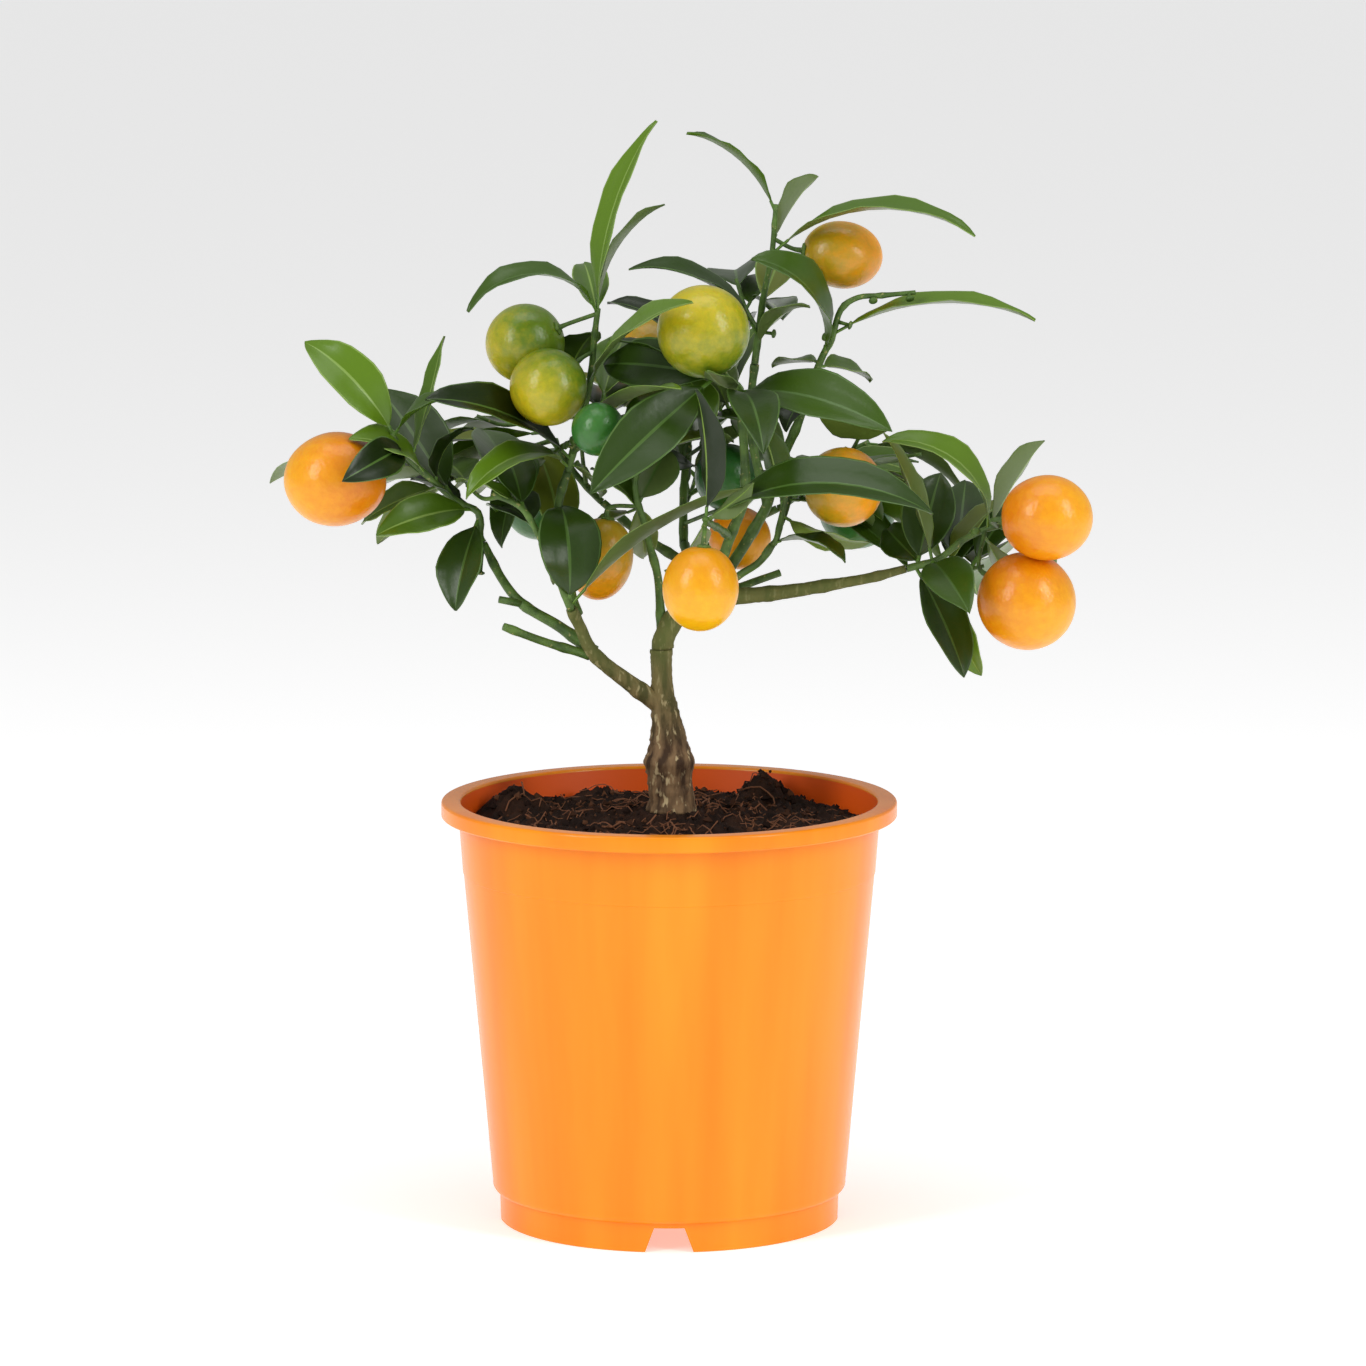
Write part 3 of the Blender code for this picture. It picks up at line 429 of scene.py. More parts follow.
# Lumps of the mound, as the solid has them
soilLumps = (
    dict(x=40, y=58, height=12, reach=15),
    dict(x=-66, y=34, height=10, reach=17),
    dict(x=-30, y=60, height=4, reach=16),
    dict(x=60, y=-20, height=3, reach=20),
)
# Clods, crumbs and grit on the solid's surface
soilGrain = (
    dict(size=0.22, layer=7.0, height=1.4, ridged=False),
    dict(size=0.5, layer=11.0, height=1.6, ridged=True),
    dict(size=1.1, layer=17.0, height=0.8, ridged=False),
)
# A crumb: the corners and faces of an octahedron, dented corner by corner
crumbCorners = ((1, 0, 0), (0, 1, 0), (-1, 0, 0), (0, -1, 0), (0, 0, 1), (0, 0, -1))
crumbFaces = ((0, 1, 4), (1, 2, 4), (2, 3, 4), (3, 0, 4), (1, 0, 5), (2, 1, 5), (3, 2, 5),
              (0, 3, 5))


def soilHeight(x, y):
    # The solid's own surface: the mound, its roughness and its lumps
    radius = math.hypot(x - trunkStart[0], y)
    edge = innerRadius(soil["wallHeight"])
    share = min(max((radius - soil["padRadius"]) / (edge - soil["padRadius"]), 0.0), 1.0)
    drop = soil["wallHeight"] - soil["trunkHeight"]
    height = soil["trunkHeight"] + drop * math.sqrt(share)
    rough = soil["roughness"] * min(share * soil["roughFade"], 1.0)
    height += rough * noise.noise(Vector((x, y, soil["roughLayer"])) * soil["roughSize"])
    for lump in soilLumps:
        away = math.hypot(x - lump["x"], y - lump["y"]) / lump["reach"]
        height += lump["height"] * math.exp(-away * away * soil["lumpFade"])
    return height


def grainAt(x, y):
    total = 0.0
    for wave in soilGrain:
        bump = noise.noise(Vector((x, y, wave["layer"])) * wave["size"])
        total += (abs(bump) if wave["ridged"] else bump) * wave["height"]
    return total * soil["grain"]


def soilTop(x, y):
    return Vector((x, y, soilHeight(x, y) + grainAt(x, y)))


def buildSoil():
    bottom = pot["baseUnderside"] + pot["baseThickness"] + gap
    edge = innerRadius(soil["wallHeight"]) - gap
    profile = [(nearly, soil["wallHeight"])]
    profile += [(edge * i / soil["rings"], soil["wallHeight"])
                for i in range(1, soil["rings"] + 1)]
    profile += [(innerRadius(height) - gap, height)
                for height in (pot["stepHeight"], pot["bodyFootHeight"])]
    profile += [(pot["bodyFootRadius"] - pot["baseCorner"] - gap, bottom), (nearly, bottom)]
    thing = turnProfile("potting_soil", profile, soil["steps"])
    level = (soil["wallHeight"] - nearly) * mm
    for vert in thing.data.vertices:
        if vert.co.z > level:
            x, y = vert.co.x / mm, vert.co.y / mm
            # The grain fades out at the pot's wall and at the trunk
            fade = min((edge - math.hypot(x, y)) / soil["edgeFade"], 1.0)
            fromTrunk = math.hypot(x - trunkStart[0], y) - soil["trunkClear"]
            fade *= min(max(fromTrunk / soil["trunkFade"], 0.0), 1.0)
            vert.co.z = (soilHeight(x, y) + max(fade, 0) * grainAt(x, y)) * mm
    thing.data.materials.clear()
    thing.data.materials.append(soilEarth())
    thing.data.shade_smooth()
    dress(thing, "soil", "soil")
    strewSoil()
    print("soil displaced and strewn")


def soilEarth():
    material = newMaterial("pottingSoil", soil["colour"], roughness=0.9,
                           Specular_IOR_Level=0.25)
    colourFrom(material, mottled(material, soil["damp"], soil["colour"], low=0.35, high=0.65,
                                 scale=90, detail=5.0))
    roughen(material, depth=1.2, strength=0.9, scale=900, detail=6.0, roughness=0.7)
    return material


def strewSoil():
    # Crumbs and bent fibres of the potting mix, joined into one piece
    rng = random.Random(soil["seed"])
    edge = innerRadius(soil["wallHeight"]) - soil["strewnTo"]
    verts, faces, slots = [], [], []
    for i in range(soil["crumbs"]):
        addCrumb(verts, faces, slots, rng, edge)
    for i in range(soil["fibres"]):
        addFibre(verts, faces, slots, rng, edge)
    materials = [newMaterial("soilCrumb_%d" % i, colour, roughness=0.9,
                             Specular_IOR_Level=0.2)
                 for i, colour in enumerate(soil["crumbColours"])]
    materials.append(newMaterial("soilFibre", soil["fibreColour"], roughness=0.8))
    dress(linkMesh("soil_crumbs", verts, faces, materials, slots, smooth=False),
          "soil", "soil")


def addCrumb(verts, faces, slots, rng, edge):
    away = edge * math.sqrt(rng.uniform(soil["crumbFrom"], 1.0))
    angle = rng.uniform(0, 2 * math.pi)
    smallest, largest = soil["crumbSize"]
    size = smallest + (largest - smallest) * (rng.random() ** soil["smallCrumbs"])
    middle = soilTop(away * math.cos(angle), away * math.sin(angle))
    turn = Matrix.Rotation(rng.uniform(*soil["crumbTurn"]), 3, "Z") @ Matrix.Rotation(
        rng.uniform(*soil["crumbTurn"]), 3, "X")
    first = len(verts)
    for corner in crumbCorners:
        dent = rng.uniform(*soil["crumbDents"])
        verts.append(middle + turn @ (Vector(corner) * size * dent))
    faces += [tuple(first + c for c in face) for face in crumbFaces]
    slots += [rng.randrange(len(soil["crumbColours"]))] * len(crumbFaces)


def addFibre(verts, faces, slots, rng, edge):
    away = (edge - soil["fibreEdge"]) * math.sqrt(rng.uniform(soil["fibreFrom"], 1.0))
    angle = rng.uniform(0, 2 * math.pi)
    heading = rng.uniform(0, 360)
    length = rng.uniform(*soil["fibreSpan"])
    radius = rng.uniform(*soil["fibreRadius"])
    point = soilTop(away * math.cos(angle), away * math.sin(angle))
    path = []
    for k in range(soil["fibreSteps"] + 1):
        if math.hypot(point.x, point.y) > edge:
            break
        lift = soil["fibreLift"] + rng.uniform(0, soil["fibreRise"])
        path.append(soilTop(point.x, point.y) + Vector((0, 0, lift)))
        heading += rng.uniform(-soil["fibreBend"], soil["fibreBend"])
        point = point + aim(heading, 0) * length / soil["fibreSteps"]
    if len(path) > 2:
        before = len(faces)
        addTube(verts, faces, path, [radius] * len(path), soil["fibreSides"])
        slots += [len(soil["crumbColours"])] * (len(faces) - before)


# Trunk: legs of length, heading and rise from the flat cut, and the radius at each joint
trunkStart = (1, 0, soil["trunkHeight"] + gap)
trunkLegs = (
    (5, 180, 90),
    (6, 180, 84),
    (11, 180, 88),
    (8, 180, 87),
    (6, 180, 85),
    (12, 180, 82),
    (9, 180, 87),
    (11, 180, 89),
)
trunkRadii = (10.4, 9.0, 8.7, 9.2, 7.9, 6.0, 4.6, 3.9, 4.2)

# Boughs in the order they fork: start point, legs of length, heading and rise, end radii
boughs = {
    "bough_right": dict(
        start=(-2.6, 0, 240.6), radii=(4.5, 1.6),
        legs=((4, 20, 84), (11, 27, 58), (12, 17, 36), (17, -7, 3), (20, -12, 7),
              (19, -9, 10), (17, -7, 11), (15, -4, 15)),
    ),
    "bough_left": dict(
        start=(-4, 0, 217), radii=(3.7, 2.1),
        legs=((18, -159, 36), (19, -160, 40), (15, -141, 59), (9, -123, 51)),
    ),
    "bough_left_outer": dict(
        start=(-31, -8, 240), radii=(2.5, 1.6),
        legs=((18, 164, 34), (18, 165, 29), (14, 155, 46), (17, 153, 59)),
    ),
    "cut_branch_left": dict(
        start=(-33, -9, 239), radii=(1.8, 1.6),
        legs=((20, -165, 18), (19, -164, 22)),
    ),
    "bough_left_upper": dict(
        start=(-38, -15, 257), radii=(2.0, 1.6),
        legs=((18, 113, 49), (20, 115, 61), (15, 76, 70), (12, -31, 71)),
    ),
    "bough_centre": dict(
        start=(-3, 1, 243), radii=(1.9, 1.5),
        legs=((14, 100, 74), (14, 105, 72), (13, 138, 70), (9, 141, 72)),
    ),
    "bough_front": dict(
        start=(13, 5, 259), radii=(2.3, 1.7),
        legs=((19, -14, 63), (14, -42, 65), (14, -31, 66), (13, -68, 80), (17, -131, 85),
              (12, 180, 86)),
    ),
    "bough_upper_right": dict(
        start=(16, 6, 260), radii=(2.5, 1.7),
        legs=((20, 10, 55), (16, 7, 58), (12, 10, 62), (10, 0, 80), (14, -19, 64),
              (12, -24, 65), (12, -29, 70)),
    ),
    "bough_top": dict(
        start=(41, 11, 300), radii=(1.9, 1.6),
        legs=((9, 136, 68), (12, 161, 75), (13, 154, 80), (14, -51, 85), (11, -39, 82)),
    ),
    "bough_right_upper": dict(
        start=(17, 4, 259), radii=(1.7, 1.4),
        legs=((16, -17, 44), (12, -24, 34), (10, -28, 51)),
    ),
    "cut_branch_right": dict(
        start=(19, 6, 259), radii=(1.7, 1.5),
        legs=((14, 24, 25), (17, 14, 18)),
    ),
    "bough_low_centre": dict(
        start=(25, 1, 287), radii=(1.7, 1.4),
        legs=((22, -100, 15), (22, -99, 12)),
    ),
    "bough_back": dict(
        start=(13, 6, 258), radii=(2.8, 2.0),
        legs=((28, 96, 14), (28, 98, 24)),
    ),
    "bough_back_left": dict(
        start=(9, 44, 269), radii=(2.0, 1.6),
        legs=((24, 172, 32), (22, 165, 38)),
    ),
    "bough_back_right": dict(
        start=(9, 46, 270), radii=(2.0, 1.6),
        legs=((24, 20, 34), (20, 5, 26)),
    ),
}


def aim(heading, rise):
    heading = math.radians(heading)
    rise = math.radians(rise)
    return Vector((math.cos(rise) * math.cos(heading),
                   math.cos(rise) * math.sin(heading), math.sin(rise)))


def walk(start, legs):
    points = [Vector(start)]
    for length, heading, rise in legs:
        points.append(points[-1] + aim(heading, rise) * length)
    return points


def lengthsAlong(points):
    total = [0.0]
    for first, second in zip(points, points[1:]):
        total.append(total[-1] + (second - first).length)
    return total


def placeOn(points, share):
    # The point and the direction at a share of a path's length
    total = lengthsAlong(points)
    target = share * total[-1]
    for i in range(len(points) - 1):
        if target <= total[i + 1] or i == len(points) - 2:
            step = points[i + 1] - points[i]
            inside = (target - total[i]) / (total[i + 1] - total[i])
            return points[i] + step * inside, step.normalized()


def tapered(points, ends):
    total = lengthsAlong(points)
    return [ends[0] + (ends[1] - ends[0]) * t / total[-1] for t in total]


def routesOfLimbs():
    routes = {"trunk": (walk(trunkStart, trunkLegs), trunkRadii)}
    for name, bough in boughs.items():
        points = walk(bough["start"], bough["legs"])
        routes[name] = (points, tapered(points, bough["radii"]))
    return routes


# Bark: every limb is a skin of close rings whose radius follows the ridges

bark = dict(
    ringStep=1.1, boughRingStep=1.6, sides=44, boughSides=24, spurSides=12,
    trunkRelief=1.5, barkRelief=0.6, greenRelief=0.2, fullReliefRadius=6,
    collar=0.5, collarReach=5.0, nodeEvery=23, nodeSwelling=0.35, nodeSharpness=9,
    colour=(132, 106, 76), dark=(66, 48, 32), light=(188, 168, 128), green=(96, 106, 54),
    greenFrom=200, greenTo=246, greenest=0.8,
    twigColour=(92, 122, 54), twigDark=(62, 86, 38), poreColour=(142, 142, 84),
)
barkLimbs = ("trunk", "bough_left", "bough_right")
# The graft swells in a collar and is pinched above it
graft = dict(collarHeight=193, collarSwelling=0.9, collarReach=4.0,
             neckHeight=200, neckPinch=0.7, neckReach=3.5)
# Upright ridges, pits and rings, as shares of a limb's relief
barkWaves = dict(upright=0.18, ridgeSize=0.55, ridge=0.5, pitSize=0.9, pit=0.3,
                 ringSize=0.5, ring=0.25)
# A pruned spur on the outer left bough
spurOnLeft = dict(start=(-60, 0, 259), legs=((11, -169, 12),), radii=(1.7, 1.5))


def smoothPath(points, radii, step):
    # Points a step apart on a curve through the joints of a limb, with their radii
    path, widths = [], []
    ends = [points[0] * 2 - points[1]] + list(points) + [points[-1] * 2 - points[-2]]
    for i in range(1, len(points)):
        a, b, c, d = ends[i - 1], ends[i], ends[i + 1], ends[i + 2]
        count = max(2, round((c - b).length / step))
        for k in range(count):
            t = k / count
            path.append(0.5 * ((b * 2) + (c - a) * t + (a * 2 - b * 5 + c * 4 - d) * t * t
                               + (b * 3 - a - c * 3 + d) * t * t * t))
            widths.append(radii[i - 1] + (radii[i] - radii[i - 1]) * t)
    return path + [points[-1]], widths + [radii[-1]]


def addTube(verts, faces, path, radii, sides, relief=None):
    # Rings carried along the path without twisting, closed at both ends
    first = len(verts)
    across = None
    for i, point in enumerate(path):
        ahead = path[min(i + 1, len(path) - 1)] - path[max(i - 1, 0)]
        way = ahead.normalized()
        if across is None:
            across = way.orthogonal().normalized()
        across = (across - way * across.dot(way)).normalized()
        other = way.cross(across)
        for k in range(sides):
            angle = 2 * math.pi * k / sides
            outward = across * math.cos(angle) + other * math.sin(angle)
            radius = radii[i]
            if relief:
                radius += relief(point, outward, radii[i])
            verts.append(point + outward * radius)
    joinRings(faces, first, len(path), sides)
    faces.append(tuple(first + k for k in reversed(range(sides))))
    last = first + (len(path) - 1) * sides
    faces.append(tuple(last + k for k in range(sides)))


def ridges(strength):
    # How far the bark stands out at a point, less on a thin limb
    waves = barkWaves

    def relief(point, outward, radius):
        around = point + outward * radius
        upright = Vector((around.x, around.y, around.z * waves["upright"]))
        ridge = 1 - 2 * abs(noise.noise(upright * waves["ridgeSize"]))
        pits = noise.noise(around * waves["pitSize"])
        rings = noise.noise(Vector((3, 5, point.z * waves["ringSize"])))
        height = waves["ridge"] * ridge + waves["pit"] * pits + waves["ring"] * rings
        return strength * height * min(radius / bark["fullReliefRadius"], 1.0)
    return relief


def graftSwelling(height):
    collar = (height - graft["collarHeight"]) / graft["collarReach"]
    neck = (height - graft["neckHeight"]) / graft["neckReach"]
    return (graft["collarSwelling"] * math.exp(-collar ** 2)
            - graft["neckPinch"] * math.exp(-neck ** 2))


def nodesOn(path, radii, every, swelling):
    # Slight swellings where leaves once stood
    widths = []
    for length, radius in zip(lengthsAlong(path), radii):
        phase = (length % every) / every
        widths.append(radius + swelling
                      * math.exp(-((phase - 0.5) * bark["nodeSharpness"]) ** 2))
    return widths


def buildBark(routes):
    barkVerts, barkFaces = [], []
    greenVerts, greenFaces = [], []
    for name, (points, radii) in routes.items():
        if name == "trunk":
            path, widths = smoothPath(points, radii, bark["ringStep"])
            widths = [w + graftSwelling(p.z) for p, w in zip(path, widths)]
            addTube(barkVerts, barkFaces, path, widths, bark["sides"],
                    ridges(bark["trunkRelief"]))
            continue
        path, widths = smoothPath(points, radii, bark["boughRingStep"])
        # A collar where the bough leaves its parent, but none where it goes on from the trunk
        if name != "bough_right":
            widths = [w + bark["collar"] * math.exp(-t / bark["collarReach"])
                      for w, t in zip(widths, lengthsAlong(path))]
        widths = nodesOn(path, widths, bark["nodeEvery"], bark["nodeSwelling"])
        if name in barkLimbs:
            addTube(barkVerts, barkFaces, path, widths, bark["boughSides"],
                    ridges(bark["barkRelief"]))
        else:
            addTube(greenVerts, greenFaces, path, widths, bark["boughSides"],
                    ridges(bark["greenRelief"]))
    spur = walk(Vector(spurOnLeft["start"]), spurOnLeft["legs"])
    addTube(greenVerts, greenFaces, spur, tapered(spur, spurOnLeft["radii"]),
            bark["spurSides"])
    dress(linkMesh("ridged_bark", barkVerts, barkFaces, [barkSkin()]), "bark", *barkLimbs)
    others = [name for name in routes if name not in barkLimbs]
    dress(linkMesh("green_boughs", greenVerts, greenFaces, [greenSkin("greenBark")]),
          "green_bark", *others)
    print("bark grown:", len(barkFaces) + len(greenFaces), "faces")


def barkSkin():
    # Grey-brown ridges with light flecks, greener towards the forks
    material = newMaterial("ridgedBark", bark["colour"], roughness=0.75,
                           Specular_IOR_Level=0.3)
    tone = mottled(material, bark["dark"], bark["colour"], low=0.38, high=0.6, scale=260,
                   detail=6.0, stretch=(1, 1, 0.2))
    tone = mottled(material, tone, bark["light"], low=0.57, high=0.66, scale=420,
                   stretch=(1, 1, 0.3))
    place = addNode(material, "ShaderNodeTexCoord")
    split = addNode(material, "ShaderNodeSeparateXYZ")
    wire(material, place, "Object", split, "Vector")
    rise = addNode(material, "ShaderNodeMapRange", From_Min=bark["greenFrom"] * mm,
                   From_Max=bark["greenTo"] * mm, To_Max=bark["greenest"])
    wire(material, split, "Z", rise, "Value")
    colourFrom(material, mixedColour(material, rise, tone, bark["green"]))
    roughen(material, depth=0.5, strength=0.7, scale=700, detail=5.0, stretch=(1, 1, 0.25))
    return material


def greenSkin(name):
    # Green wood, darker in patches and dotted with pale pores
    material = newMaterial(name, bark["twigColour"], roughness=0.5, Specular_IOR_Level=0.4)
    tone = mottled(material, bark["twigDark"], bark["twigColour"], low=0.35, high=0.68,
                   scale=190, detail=4.0)
    colourFrom(material, mottled(material, tone, bark["poreColour"], low=0.64, high=0.7,
                                 scale=520, detail=2.0))
    roughen(material, depth=0.15, strength=0.5, scale=600)
    return material


# How foliage grows. The source's own rule and plain leaves test what a new one would touch,
# so that both grow the same crown. No leaf goes further back than backReach, so that the
# tree stays centred on its pot.
growth = dict(
    stations=(0.0, 0.04, 0.14, 0.36, 0.62, 0.86, 1.0), petiole=0.10, petioleHalfWidth=0.9,
    thickness=0.018, thinnest=0.5, fold=18.0, bladeSkew=0.92, fullness=0.8, rootDepth=2.0,
    stemLead=3.0, testMargin=0.6, bladeFrom=0.2, goldenTurn=137.5,
    triesPerTwig=6, tryTurn=60, twigFrom=0.2, twigsOver=0.75, twigSpread=(45, 65),
    twigLength=(22, 34), twigRise=0.5, twigRadii=(1.6, 1.4),
    triesPerLeaf=80, leafFrom=0.25, tipFrom=0.97, tipSpread=(15, 35), sideSpread=(50, 80),
    lowest=-55.0, highest=70.0, span=(44, 70), arch=(15, 60), roll=(-25, 25),
    slimness=(0.36, 0.44), backReach=98.0, stalkBend=0.62, stalkEnd=0.40,
    fruitSides=10, fruitRings=8, potMiddle=(0, 0, 90), potReach=140,
)

